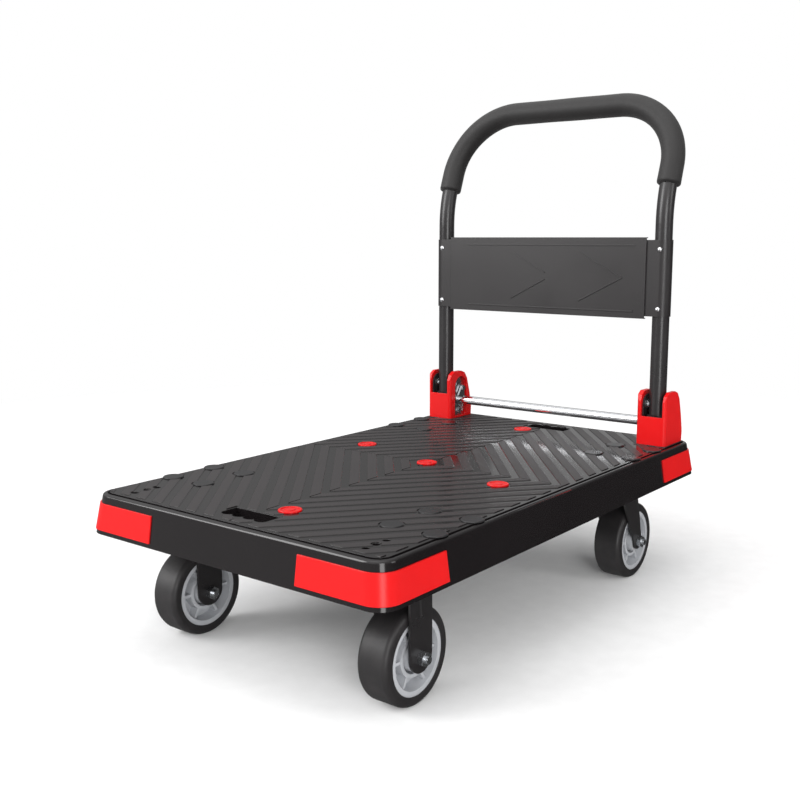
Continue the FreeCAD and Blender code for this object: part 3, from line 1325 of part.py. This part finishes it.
for sx, word in ((-1, "left"), (1, "right")):
    key = word.capitalize()
    x = f"{sx} * castorX"
    spanX = sorted([f"{sx} * ({plateX[0]})", f"{sx} * ({plateX[1]})"], key=num)

    # rigid castor at the front
    y = "-(castorY + castorOffset)"
    plateFront = f"{y} - rigidLegWide / 2 - 3"
    parts = [block("RigidPlate" + key, (spanX[0], plateFront, plateLow),
                   (spanX[1], "-castorY + boltStepY / 2 + plateEdge", "padBottom"))]
    for i, side in enumerate((-1, 1)):
        start = f"{x} + {side} * (forkGap + forkThick) / 2 - forkThick / 2"
        parts.append(capsule(f"RigidLeg{key}{i}", "rigidLegWide / 2", start, f"{start} + forkThick",
                             [(y, "wheelRound + 3"), (y, "padBottom - rigidLegWide / 2")]))
        parts.append(block(f"RigidTop{key}{i}",
                           (start, f"{y} - rigidLegWide / 2", "padBottom - rigidLegWide / 2"),
                           (f"{start} + forkThick", f"{y} + rigidLegWide / 2", "padBottom")))
    gussets = Part.makeCompound(gussetPair(num(x), num(y)))
    parts.append(shaped("RigidGussets" + key, gussets))
    holes = plateHoles("Rigid" + key, sx, -1)
    holes.append(rod("RigidAxleHole" + key, "x", "axleRound", "2 * forkGap", f"{x} - forkGap", y,
                     "wheelRound"))
    rigidFork = cut("RigidFork" + key, fuse("RigidBody" + key, parts), fuse("RigidCut" + key, holes))
    node("rigid_fork_" + word, rigidFork)
    node("axle_front_" + word, axleSet("FrontAxle" + key, x, y))
    node("tyre_front_" + word, tyre("FrontTyre" + key, x, y))
    node("hub_front_" + word, hub("FrontHub" + key, x, y))
    node("bearings_front_" + word, bearings("FrontBearings" + key, x, y))

    # swivel castor at the rear
    y = "castorY"
    axleY = "castorY + castorOffset"
    parts = [block("SwivelPlate" + key, (spanX[0], "castorY - boltStepY / 2 - plateEdge", plateLow),
                   (spanX[1], "castorY + boltStepY / 2 + plateEdge", "padBottom")),
             rod("RaceBoss" + key, "z", "raceRound", f"{plateLow} - raceBottom", x, y, "raceBottom")]
    grooveZ = "(raceBottom + crownTop) / 2"
    track = doc.addObject("Part::Torus", "Track" + key)
    bind(track, Radius1="ballCircle", Radius2="ballRound + runClear")
    place(track, x, y, grooveZ)
    holes = plateHoles("Swivel" + key, sx, 1)
    holes.append(rod("KingHole" + key, "z", "kingRound", "40", x, y, "raceBottom - 10"))
    swivelPlate = cut("SwivelPlateCut" + key, fuse("SwivelPlateBody" + key, parts),
                      fuse("SwivelPlateTools" + key, holes + [track]))
    node("swivel_plate_" + word, swivelPlate)

    lipOuter = rod("LipOuter" + key, "z", "crownRound", "crownThick + crownLip", x, y,
                   "crownTop - crownThick")
    lipInner = rod("LipInner" + key, "z", "raceRound + 2", "crownLip + 1", x, y, "crownTop")
    crown = cut("Crown" + key, lipOuter, lipInner)
    legs = newBody("SwivelLegs" + key)
    outlineSketch = sketch(legs, "LegOutline" + key, "YZ_Plane")
    polygon(outlineSketch, [
        ("-crownRound + 9", "crownTop - wheelRound"), ("-crownRound + 9", "crownTop - wheelRound - 8"),
        ("castorOffset - swivelEnd", "0"), ("castorOffset + swivelEnd", "0"),
        ("castorOffset + 1", "52"), ("crownRound - 6", "crownTop - wheelRound"),
    ])
    pad(legs, "LegPad" + key, outlineSketch, "forkGap + 2 * forkThick", both=True)
    gapSketch = sketch(legs, "LegGap" + key, "YZ_Plane")
    rect(gapSketch, ("-2 * crownRound", "-wheelRound"),
         ("3 * crownRound", "crownTop - crownThick - wheelRound"))
    pocket(legs, "LegGapPocket" + key, gapSketch, "forkGap", both=True)
    place(legs, x, y, "wheelRound")
    ends = []
    for i, side in enumerate((-1, 1)):
        start = f"{x} + {side} * (forkGap + forkThick) / 2 - forkThick / 2"
        ends.append(rod(f"LegEnd{key}{i}", "x", "swivelEnd", "forkThick", start, axleY, "wheelRound"))
    holes = [rod("CrownHole" + key, "z", "kingRound + runClear", "40", x, y, "crownTop - 20"),
             rod("SwivelAxleHole" + key, "x", "axleRound", "2 * forkGap", f"{x} - forkGap", axleY,
                 "wheelRound")]
    lowTrack = doc.addObject("Part::Torus", "LowTrack" + key)
    bind(lowTrack, Radius1="ballCircle", Radius2="ballRound")
    place(lowTrack, x, y, grooveZ)
    fork = cut("SwivelFork" + key, fuse("SwivelForkBody" + key, [crown, legs] + ends),
               fuse("SwivelForkTools" + key, holes + [lowTrack]))
    node("swivel_fork_" + word, fork)

    balls = []
    for i in range(int(num("ballCount"))):
        ball = doc.addObject("Part::Sphere", f"Ball{key}{i}")
        bind(ball, Radius="ballRound")
        turn = 360 * i / num("ballCount")
        place(ball, f"{x} + ballCircle * cos({turn} deg)", f"{y} + ballCircle * sin({turn} deg)", grooveZ)
        balls.append(ball)
    node("swivel_balls_" + word, group("SwivelBalls" + key, balls))

    kingNutLow = "crownTop - crownThick - sideClear - kingNutHigh"
    kingNut = hexagon("KingNut" + key, "z", "kingFlats", "kingNutHigh", x, y, kingNutLow)
    kingShank = rod("KingShank" + key, "z", "kingRound", f"padBottom - ({kingNutLow}) + boltTail", x, y,
                    f"{kingNutLow} - boltTail")
    node("kingpin_" + word, fuse("Kingpin" + key, [kingNut, kingShank]))
    node("axle_rear_" + word, axleSet("RearAxle" + key, x, axleY))
    node("tyre_rear_" + word, tyre("RearTyre" + key, x, axleY))
    node("hub_rear_" + word, hub("RearHub" + key, x, axleY))
    node("bearings_rear_" + word, bearings("RearBearings" + key, x, axleY))


# ---- check and write ----

doc.recompute()
for item in doc.Objects:
    bad = {"Invalid", "Error"} & set(item.State)
    if bad:
        raise RuntimeError(f"{item.Label} is {bad}")
for name, item in nodes.items():
    shape = item.Shape
    if shape.isNull() or not shape.isValid():
        raise RuntimeError(f"{name} has no valid shape")

os.makedirs("parts", exist_ok=True)
for name, item in nodes.items():
    item.Shape.exportStep(f"parts/{name}.step")
    print(f"{name:26s} {len(item.Shape.Solids):3d} solids {item.Shape.Volume / 1000:9.1f} cm3")
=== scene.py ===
import math

import bmesh
import bpy
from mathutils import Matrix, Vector


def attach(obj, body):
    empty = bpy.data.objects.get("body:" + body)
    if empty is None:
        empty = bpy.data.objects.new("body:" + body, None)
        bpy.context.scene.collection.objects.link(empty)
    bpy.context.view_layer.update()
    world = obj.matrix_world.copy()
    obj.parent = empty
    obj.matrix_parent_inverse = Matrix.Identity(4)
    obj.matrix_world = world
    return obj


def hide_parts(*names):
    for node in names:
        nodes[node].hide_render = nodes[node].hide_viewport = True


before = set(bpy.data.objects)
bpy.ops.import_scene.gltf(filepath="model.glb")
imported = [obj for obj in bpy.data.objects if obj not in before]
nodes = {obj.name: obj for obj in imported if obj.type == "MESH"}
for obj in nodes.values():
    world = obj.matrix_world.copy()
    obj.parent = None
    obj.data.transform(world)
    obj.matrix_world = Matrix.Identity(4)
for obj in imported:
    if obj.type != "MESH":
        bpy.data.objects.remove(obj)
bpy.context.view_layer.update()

noiseRoughness = 0.55
print("frame loaded:", len(nodes), "CAD nodes")


def linearColour(code):  # sRGB hex to the linear numbers a shader takes
    parts = [int(code[i:i + 2], 16) / 255 for i in (1, 3, 5)]
    return [p / 12.92 if p <= 0.04045 else ((p + 0.055) / 1.055) ** 2.4 for p in parts] + [1.0]


def addNode(tree, kind, settings=None, links=None):  # settings fill inputs or properties, links feed inputs
    node = tree.nodes.new(kind)
    for key, value in (settings or {}).items():
        if isinstance(key, int) or key in node.inputs:
            node.inputs[key].default_value = value
        else:
            setattr(node, key, value)
    for key, source in (links or {}).items():
        tree.links.new(source, node.inputs[key])
    return node


def startFinish(name):
    finish = bpy.data.materials.new(name)
    finish.use_nodes = True
    tree = finish.node_tree
    tree.nodes.clear()
    shader = addNode(tree, "ShaderNodeBsdfPrincipled")
    addNode(tree, "ShaderNodeOutputMaterial", links={"Surface": shader.outputs["BSDF"]})
    place = addNode(tree, "ShaderNodeTexCoord").outputs["Object"]
    return finish, tree, shader, place


# A broad pattern tints the colour, a fine one gives the relief, and rounded edges catch the light.
def mottledFinish(name, look):
    finish, tree, shader, place = startFinish(name)
    patterns = {}
    for key in ("broad", "fine"):
        stretch = {"Scale": look.get(key + "Stretch", (1, 1, 1))}
        spot = addNode(tree, "ShaderNodeMapping", stretch, {"Vector": place}).outputs["Vector"]
        settings = {
            "Scale": 1000 / look[key + "Mm"], "Detail": look[key + "Detail"], "Roughness": noiseRoughness,
        }
        patterns[key] = addNode(tree, "ShaderNodeTexNoise", settings, {"Vector": spot}).outputs["Fac"]
    tintFrom, tintTo = look.get("tintRange", (0.3, 0.7))
    share = addNode(tree, "ShaderNodeMapRange", {"From Min": tintFrom, "From Max": tintTo},
                    {"Value": patterns["broad"]}).outputs["Result"]
    tints = {"Color1": linearColour(look["colour"]), "Color2": linearColour(look["shade"])}
    tree.links.new(addNode(tree, "ShaderNodeMixRGB", tints, {"Fac": share}).outputs["Color"],
                   shader.inputs["Base Color"])
    roughness = {
        "From Min": 0.3, "From Max": 0.7,
        "To Min": look["rough"] - look["roughSpread"], "To Max": look["rough"] + look["roughSpread"],
    }
    gloss = addNode(tree, "ShaderNodeMapRange", roughness, {"Value": patterns[look["roughBy"]]})
    tree.links.new(gloss.outputs["Result"], shader.inputs["Roughness"])
    edge = addNode(tree, "ShaderNodeBevel", {"samples": 4, "Radius": look["edgeMm"] / 1000})
    relief = addNode(tree, "ShaderNodeBump", {"Distance": look["fineDepthMm"] / 1000},
                     {"Height": patterns["fine"], "Normal": edge.outputs["Normal"]})
    tree.links.new(relief.outputs["Normal"], shader.inputs["Normal"])
    for socket, value in look["sockets"].items():
        shader.inputs[socket].default_value = value
    return finish


# Injection moulded polypropylene: fine grain breaks the gloss, slow flow marks keep wide faces alive.
# The real grain is about 0.1 mm, drawn coarser so that it shows.
mouldedPlastic = {"broadDetail": 3.0, "fineDetail": 2.0, "roughBy": "broad"}
blackPolypropylene = mottledFinish("mouldedPolypropyleneBlack", {
    **mouldedPlastic, "colour": "#1c1b1d", "shade": "#232224", "broadMm": 140, "fineMm": 2.4,
    "fineDepthMm": 0.006, "rough": 0.3, "roughSpread": 0.04, "edgeMm": 0.8,
    "sockets": {"IOR": 1.49, "Specular IOR Level": 0.5},
})
redPolypropylene = mottledFinish("mouldedPolypropyleneRed", {
    **mouldedPlastic, "colour": "#e60f12", "shade": "#df0c10", "broadMm": 70, "fineMm": 2.4,
    "fineDepthMm": 0.003, "rough": 0.3, "roughSpread": 0.015, "edgeMm": 1.4,
    "sockets": {"IOR": 1.49, "Specular IOR Level": 0.36},
})
greyPolypropylene = mottledFinish("mouldedPolypropyleneGrey", {
    **mouldedPlastic, "colour": "#c4c6ca", "shade": "#bcbec2", "broadMm": 40, "fineMm": 2.2,
    "fineDepthMm": 0.008, "rough": 0.42, "roughSpread": 0.05, "edgeMm": 0.8,
    "sockets": {"IOR": 1.49, "Specular IOR Level": 0.4},
})

# Powder coat over steel: orange peel a few millimetres wide wobbles the reflections a little.
powderCoat = {"broadDetail": 3.0, "fineDetail": 1.0, "roughBy": "broad", "edgeMm": 0.6}
blackPowderCoat = mottledFinish("powderCoatedSteelBlack", {
    **powderCoat, "colour": "#262425", "shade": "#2a2829", "broadMm": 60, "fineMm": 2.6,
    "fineDepthMm": 0.008, "rough": 0.3, "roughSpread": 0.04,
    "sockets": {"IOR": 1.5, "Specular IOR Level": 0.6},
})
greyPowderCoat = mottledFinish("powderCoatedSteelGrey", {
    **powderCoat, "colour": "#211e1f", "shade": "#252223", "broadMm": 90, "fineMm": 2.6,
    "fineDepthMm": 0.01, "rough": 0.38, "roughSpread": 0.04,
    "sockets": {"IOR": 1.5, "Specular IOR Level": 0.6},
})

# Electroplated steel: the drawn or rolled lines of the blank show faintly through the bright plate.
platedSteel = {"broadDetail": 4.0, "fineDetail": 2.0, "roughBy": "fine", "sockets": {"Metallic": 1.0}}
chromePlate = mottledFinish("chromePlatedSteel", {
    **platedSteel, "colour": "#e4e5e7", "shade": "#dcdde0", "broadMm": 30, "fineMm": 1.5,
    "fineStretch": (0.02, 1, 1), "fineDepthMm": 0.003, "rough": 0.1, "roughSpread": 0.03, "edgeMm": 0.5,
})
zincPlate = mottledFinish("zincPlatedSteel", {
    **platedSteel, "colour": "#d6d8da", "shade": "#c6c9cd", "broadMm": 4, "fineMm": 1.2,
    "fineStretch": (1, 1, 0.2), "fineDepthMm": 0.006, "rough": 0.24, "roughSpread": 0.06, "edgeMm": 0.7,
})

# Moulded thermoplastic rubber: low gloss, fine release texture, a trace of dust that lifts the shadows.
blackRubber = mottledFinish("mouldedRubberBlack", {
    "colour": "#282627", "shade": "#322f30", "tintRange": (0.45, 0.75), "broadMm": 24, "broadDetail": 4.0,
    "fineMm": 1.5, "fineDetail": 3.0, "fineDepthMm": 0.04, "roughBy": "fine",
    "rough": 0.48, "roughSpread": 0.05, "edgeMm": 1.0,
    "sockets": {"IOR": 1.52, "Specular IOR Level": 0.5},
})

# treadColour and treadShade are a painted highlight: the raised tread tops are painted paler than the field.
deckLook = {
    "fieldColour": "#171415", "fieldShade": "#1a1718", "treadColour": "#2e2a2b", "treadShade": "#322e2f",
    "flowMm": 140, "fieldLevel": 0.2194, "treadLevel": 0.2198, "fieldRough": 0.13, "treadRough": 0.4,
    "edgeMm": 0.8, "sockets": {"IOR": 1.49, "Specular IOR Level": 0.5},
}


# One polypropylene moulding with two finishes: a polished field that mirrors what stands on it, and matt
# tread tops painted paler, a painted highlight for the light the raised treads catch.
def deckFinish(name, look):
    finish, tree, shader, place = startFinish(name)
    settings = {"Scale": 1000 / look["flowMm"], "Detail": 3.0, "Roughness": noiseRoughness}
    flow = addNode(tree, "ShaderNodeTexNoise", settings, {"Vector": place}).outputs["Fac"]
    share = addNode(tree, "ShaderNodeMapRange", {"From Min": 0.3, "From Max": 0.7},
                    {"Value": flow}).outputs["Result"]
    height = addNode(tree, "ShaderNodeSeparateXYZ", links={0: place}).outputs["Z"]
    levels = {"From Min": look["fieldLevel"], "From Max": look["treadLevel"]}
    # Painted highlight: from fieldLevel up to treadLevel the colour turns to the paler tread colour, and the
    # same share makes the tread tops matt.
    mattAndPaintedPaleTreads = addNode(tree, "ShaderNodeMapRange", levels, {"Value": height}).outputs["Result"]
    colours = []
    for part in ("field", "tread"):
        tints = {"Color1": linearColour(look[part + "Colour"]), "Color2": linearColour(look[part + "Shade"])}
        colours.append(addNode(tree, "ShaderNodeMixRGB", tints, {"Fac": share}).outputs["Color"])
    both = addNode(tree, "ShaderNodeMixRGB", links={"Fac": mattAndPaintedPaleTreads, "Color1": colours[0], "Color2": colours[1]})
    tree.links.new(both.outputs["Color"], shader.inputs["Base Color"])
    gloss = addNode(tree, "ShaderNodeMapRange", {"To Min": look["fieldRough"], "To Max": look["treadRough"]},
                    {"Value": mattAndPaintedPaleTreads})
    tree.links.new(gloss.outputs["Result"], shader.inputs["Roughness"])
    edge = addNode(tree, "ShaderNodeBevel", {"samples": 4, "Radius": look["edgeMm"] / 1000})
    tree.links.new(edge.outputs["Normal"], shader.inputs["Normal"])
    for socket, value in look["sockets"].items():
        shader.inputs[socket].default_value = value
    return finish


deckPolypropylene = deckFinish("mouldedPolypropyleneDeck", deckLook)


def dress(finish, *names):
    for name in names:
        piece = nodes[name]
        if not piece.material_slots:
            piece.data.materials.append(None)
        for slot in piece.material_slots:
            slot.material = finish


def each(kind, places):  # the node names of one kind of piece, one for each place
    return [kind + "_" + place for place in places]


corners = ("front_left", "front_right", "rear_left", "rear_right")
sides = ("left", "right")
blackPieces = ("rigid_fork", "swivel_fork", "hinge_bracket", "swivel_plate", "lock_foot")
zincPieces = ("pivot_bolt", "pivot_bush", "latch_plate", "latch_spring", "kingpin", "swivel_balls")
dress(deckPolypropylene, "deck_shell")
dress(blackPolypropylene, "castor_bolt_caps")
dress(redPolypropylene, "red_grip_studs", *each("corner_bumper", corners), *each("hinge_cover", sides))
dress(greyPolypropylene, *each("hub", corners))
dress(blackRubber, *each("tyre", corners))
dress(blackPowderCoat, "handle_tube", *[name for kind in blackPieces for name in each(kind, sides)])
dress(greyPowderCoat, "handle_panel")
dress(chromePlate, "release_bar", *each("latch_lever", sides), "panel_rivets")
dress(zincPlate, "castor_bolts", "castor_nuts", "bracket_bolts", "bracket_nuts", "latch_pins",
      "latch_screws", *each("axle", corners), *each("bearings", corners),
      *[name for kind in zincPieces for name in each(kind, sides)])
print("finishes on the CAD nodes:", len(bpy.data.materials))

gripLook = {
    "legX": 0.217, "legY": 0.354, "bendStart": 0.584, "bendRound": 0.203, "bendAngle": 20.3,
    "leanLong": 0.1393, "cornerRound": 0.114, "gripLow": 0.646, "tubeRound": 0.01405, "foamRound": 0.0195,
    "endRound": 0.0045, "step": 0.004, "around": 48, "swells": ((0.00012, 61, 0), (0.0001, 37, 1.3)),
    "colour": "#191717", "shade": "#1d1b1b", "cellMm": 1.8, "cellDepthMm": 0.06,
    "cloudMm": 26, "cloudDepthMm": 0.5, "rough": 0.55, "roughSpread": 0.06,
    "sockets": {"Sheen Weight": 0.1, "Sheen Roughness": 0.5, "Specular IOR Level": 0.55},
}


# Closed-cell nitrile foam: a heat-skinned surface of open pits, with a soft sheen at its outline.
# The real cells are well under a millimetre, drawn coarser so that they show.
def foamFinish(name, look):
    finish, tree, shader, place = startFinish(name)
    cells = addNode(tree, "ShaderNodeTexVoronoi", {"Scale": 1000 / look["cellMm"]},
                    {"Vector": place}).outputs["Distance"]
    settings = {"Scale": 1000 / look["cloudMm"], "Detail": 3.0, "Roughness": noiseRoughness}
    cloud = addNode(tree, "ShaderNodeTexNoise", settings, {"Vector": place}).outputs["Fac"]
    share = addNode(tree, "ShaderNodeMapRange", {"From Min": 0.3, "From Max": 0.7},
                    {"Value": cloud}).outputs["Result"]
    tints = {"Color1": linearColour(look["colour"]), "Color2": linearColour(look["shade"])}
    tree.links.new(addNode(tree, "ShaderNodeMixRGB", tints, {"Fac": share}).outputs["Color"],
                   shader.inputs["Base Color"])
    soft = addNode(tree, "ShaderNodeBump", {"Distance": look["cloudDepthMm"] / 1000}, {"Height": cloud})
    pits = addNode(tree, "ShaderNodeBump", {"Distance": look["cellDepthMm"] / 1000},
                   {"Height": cells, "Normal": soft.outputs["Normal"]})
    tree.links.new(pits.outputs["Normal"], shader.inputs["Normal"])
    roughness = {
        "From Min": 0, "From Max": 0.6,
        "To Min": look["rough"] - look["roughSpread"], "To Max": look["rough"] + look["roughSpread"],
    }
    tree.links.new(addNode(tree, "ShaderNodeMapRange", roughness, {"Value": cells}).outputs["Result"],
                   shader.inputs["Roughness"])
    for socket, value in look["sockets"].items():
        shader.inputs[socket].default_value = value
    return finish


def gripLine(look):  # middle line of the bar inside the grip, from the left end to the right end
    bend = math.radians(look["bendAngle"])
    lean = Vector((0, math.sin(bend), math.cos(bend)))

    def onBend(turn):
        y = look["legY"] + look["bendRound"] * (1 - math.cos(turn))
        return Vector((look["legX"], y, look["bendStart"] + look["bendRound"] * math.sin(turn)))

    foot = onBend(bend)
    first = math.asin((look["gripLow"] - look["bendStart"]) / look["bendRound"])
    line = [onBend(first + (bend - first) * i / 4) for i in range(4)]
    straight = look["leanLong"] - look["cornerRound"]
    count = max(2, round(straight / look["step"]))
    line += [foot + lean * straight * i / count for i in range(count)]
    centre = foot + lean * straight - Vector((look["cornerRound"], 0, 0))
    count = round(look["cornerRound"] * math.pi / 2 / look["step"])
    for i in range(count + 1):
        turn = math.pi / 2 * i / count
        across = Vector((math.cos(turn) * look["cornerRound"], 0, 0))
        line.append(centre + across + lean * math.sin(turn) * look["cornerRound"])
    half = look["legX"] - look["cornerRound"]
    count = round(half / look["step"])
    line += [line[-1] - Vector((half * i / count, 0, 0)) for i in range(1, count + 1)]
    left = [Vector((-p.x, p.y, p.z)) for p in line[:-1]]
    return left + line[::-1]


def sleeveRadii(line, look):  # outer radius at each point: rounded ends, slightly uneven between them
    along = [0.0]
    for a, b in zip(line, line[1:]):
        along.append(along[-1] + (b - a).length)
    total = along[-1]
    radii = []
    for s in along:
        gap = min(s, total - s)
        drop = 0.0
        if gap < look["endRound"]:
            rise = max(0.0, look["endRound"] ** 2 - (look["endRound"] - gap) ** 2)
            drop = look["endRound"] - math.sqrt(rise)
        swell = sum(high * math.sin(s * pace + start) for high, pace, start in look["swells"])
        radii.append(look["foamRound"] - drop + swell)
    return radii


def sweepSleeve(name, look):
    line = gripLine(look)
    radii = sleeveRadii(line, look)
    mesh = bpy.data.meshes.new(name)
    shell = bmesh.new()
    across = Vector((0, 1, 0))
    frames = []
    for i in range(len(line)):
        ahead = (line[min(i + 1, len(line) - 1)] - line[max(i - 1, 0)]).normalized()
        across = (across - ahead * across.dot(ahead)).normalized()
        frames.append((across.copy(), ahead.cross(across)))
    turns = [2 * math.pi * k / look["around"] for k in range(look["around"])]
    outside = [(i, radii[i]) for i in range(len(line))]
    inside = [(i, look["tubeRound"]) for i in reversed(range(len(line)))]
    loops = []
    for i, radius in outside + inside:
        u, v = frames[i]
        spots = [line[i] + (u * math.cos(turn) + v * math.sin(turn)) * radius for turn in turns]
        loops.append([shell.verts.new(spot) for spot in spots])
    for a, b in zip(loops, loops[1:] + loops[:1]):
        for k in range(look["around"]):
            n = (k + 1) % look["around"]
            shell.faces.new((a[k], a[n], b[n], b[k]))
    bmesh.ops.recalc_face_normals(shell, faces=shell.faces)
    for face in shell.faces:
        face.smooth = True
    shell.to_mesh(mesh)
    shell.free()
    piece = bpy.data.objects.new(name, mesh)
    bpy.context.scene.collection.objects.link(piece)
    piece.data.materials.append(foamFinish("skinnedNitrileFoam", look))
    return piece


foamGrip = sweepSleeve("foamGrip", gripLook)
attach(foamGrip, "handle")
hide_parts("handle_grip")
print("foam grip swept:", len(foamGrip.data.vertices), "points")

floorLook = {
    "round": 9.0, "paleFrom": 1.1, "paleTo": 2.4, "colour": "#f2f2f2", "shade": "#f6f6f6", "fibreMm": 30,
}


def layFloor(look):  # matt paper near the cart, fading to plain white away from it
    mesh = bpy.data.meshes.new("studioFloor")
    sheet = bmesh.new()
    bmesh.ops.create_circle(sheet, cap_ends=True, cap_tris=True, segments=96, radius=look["round"])
    sheet.to_mesh(mesh)
    sheet.free()
    floor = bpy.data.objects.new("studioFloor", mesh)
    bpy.context.scene.collection.objects.link(floor)
    finish = bpy.data.materials.new("mattPaperFloor")
    finish.use_nodes = True
    tree = finish.node_tree
    tree.nodes.clear()
    place = addNode(tree, "ShaderNodeTexCoord").outputs["Object"]
    settings = {"Scale": 1000 / look["fibreMm"], "Detail": 3.0, "Roughness": noiseRoughness}
    fibre = addNode(tree, "ShaderNodeTexNoise", settings, {"Vector": place}).outputs["Fac"]
    share = addNode(tree, "ShaderNodeMapRange", {"From Min": 0.3, "From Max": 0.7},
                    {"Value": fibre}).outputs["Result"]
    tints = {"Color1": linearColour(look["colour"]), "Color2": linearColour(look["shade"])}
    colour = addNode(tree, "ShaderNodeMixRGB", tints, {"Fac": share}).outputs["Color"]
    paper = addNode(tree, "ShaderNodeBsdfDiffuse", {"Roughness": 0.6}, {"Color": colour})
    glow = addNode(tree, "ShaderNodeEmission", {"Color": (1, 1, 1, 1), "Strength": 1.0})
    away = addNode(tree, "ShaderNodeVectorMath", {"operation": "LENGTH"}, {0: place}).outputs["Value"]
    fade = addNode(tree, "ShaderNodeMapRange", {"From Min": look["paleFrom"], "From Max": look["paleTo"]},
                   {"Value": away}).outputs["Result"]
    both = addNode(tree, "ShaderNodeMixShader",
                   links={0: fade, 1: paper.outputs["BSDF"], 2: glow.outputs["Emission"]})
    addNode(tree, "ShaderNodeOutputMaterial", links={"Surface": both.outputs["Shader"]})
    mesh.materials.append(finish)
    floor.visible_glossy = False


skyLook = {
    "low": 0.15, "high": 0.7, "lowAt": 0.1, "highAt": 0.9,
    "brightSide": (-0.35, -0.93, 0.1), "sideLow": 0.3, "sideHigh": 3.0,
}


def paintSky(look):  # white to the eye; surfaces mirror a dim room, brighter overhead and towards one side
    world = bpy.data.worlds.new("studioSky")
    bpy.context.scene.world = world
    world.use_nodes = True
    tree = world.node_tree
    tree.nodes.clear()
    where = addNode(tree, "ShaderNodeTexCoord").outputs["Generated"]
    up = addNode(tree, "ShaderNodeSeparateXYZ", links={0: where}).outputs["Z"]
    heights = {
        "From Min": look["lowAt"], "From Max": look["highAt"], "To Min": look["low"], "To Max": look["high"],
    }
    level = addNode(tree, "ShaderNodeMapRange", heights, {"Value": up}).outputs["Result"]
    aim = Vector(look["brightSide"]).normalized()
    toSide = addNode(tree, "ShaderNodeVectorMath", {"operation": "DOT_PRODUCT", 1: aim}, {0: where})
    sideways = {"From Min": -1.0, "From Max": 1.0, "To Min": look["sideLow"], "To Max": look["sideHigh"]}
    side = addNode(tree, "ShaderNodeMapRange", sideways, {"Value": toSide.outputs["Value"]})
    product = {0: level, 1: side.outputs["Result"]}
    room = addNode(tree, "ShaderNodeMath", {"operation": "MULTIPLY"}, product).outputs["Value"]
    eye = addNode(tree, "ShaderNodeLightPath").outputs["Is Camera Ray"]
    strength = addNode(tree, "ShaderNodeMix", {3: 1.0}, {0: eye, 2: room}).outputs[0]
    white = addNode(tree, "ShaderNodeBackground", {"Color": (1, 1, 1, 1)}, {"Strength": strength})
    addNode(tree, "ShaderNodeOutputWorld", links={"Surface": white.outputs["Background"]})


lightsAim = Vector((0, 0, 0.3))
lights = {
    "keySoftbox": {"place": (-1.9, -2.4, 1.7), "size": (1.5, 1.9), "watts": 56},
    "stripSoftbox": {"place": (2.35, -2.05, 0.75), "size": (1.0, 2.0), "watts": 34},
    "fillSoftbox": {"place": (2.9, 0.6, 1.5), "size": (1.0, 1.6), "watts": 12},
    "rearSoftbox": {"place": (-0.5, 3.0, 0.8), "size": (2.4, 1.0), "watts": 2.5},
    "topSoftbox": {"place": (0, -0.4, 2.8), "size": (2.0, 2.0), "watts": 8},
}


def hangLight(name, look):
    lamp = bpy.data.lights.new(name, "AREA")
    lamp.shape = "RECTANGLE"
    lamp.size, lamp.size_y = look["size"]
    lamp.energy = look["watts"]
    holder = bpy.data.objects.new(name, lamp)
    bpy.context.scene.collection.objects.link(holder)
    holder.location = look["place"]
    holder.rotation_euler = (lightsAim - Vector(look["place"])).to_track_quat("-Z", "Y").to_euler()
    holder.visible_camera = False


cameraLook = {
    "place": (0.90615, -1.22148, 0.56106), "turn": 37.62, "tilt": 8.94,
    "lens": 45.518, "sensor": 36, "shiftX": -0.01086, "shiftY": -0.00379,
}


def setCamera(look):
    eye = bpy.data.cameras.new("studioCamera")
    eye.lens = look["lens"]
    eye.sensor_width = look["sensor"]
    eye.shift_x = look["shiftX"]
    eye.shift_y = look["shiftY"]
    holder = bpy.data.objects.new("studioCamera", eye)
    bpy.context.scene.collection.objects.link(holder)
    holder.location = look["place"]
    holder.rotation_euler = (math.radians(90 - look["tilt"]), 0, math.radians(look["turn"]))
    bpy.context.scene.camera = holder


layFloor(floorLook)
paintSky(skyLook)
for name, look in lights.items():
    hangLight(name, look)
setCamera(cameraLook)
bpy.context.scene.view_settings.view_transform = "Standard"
print("studio ready")
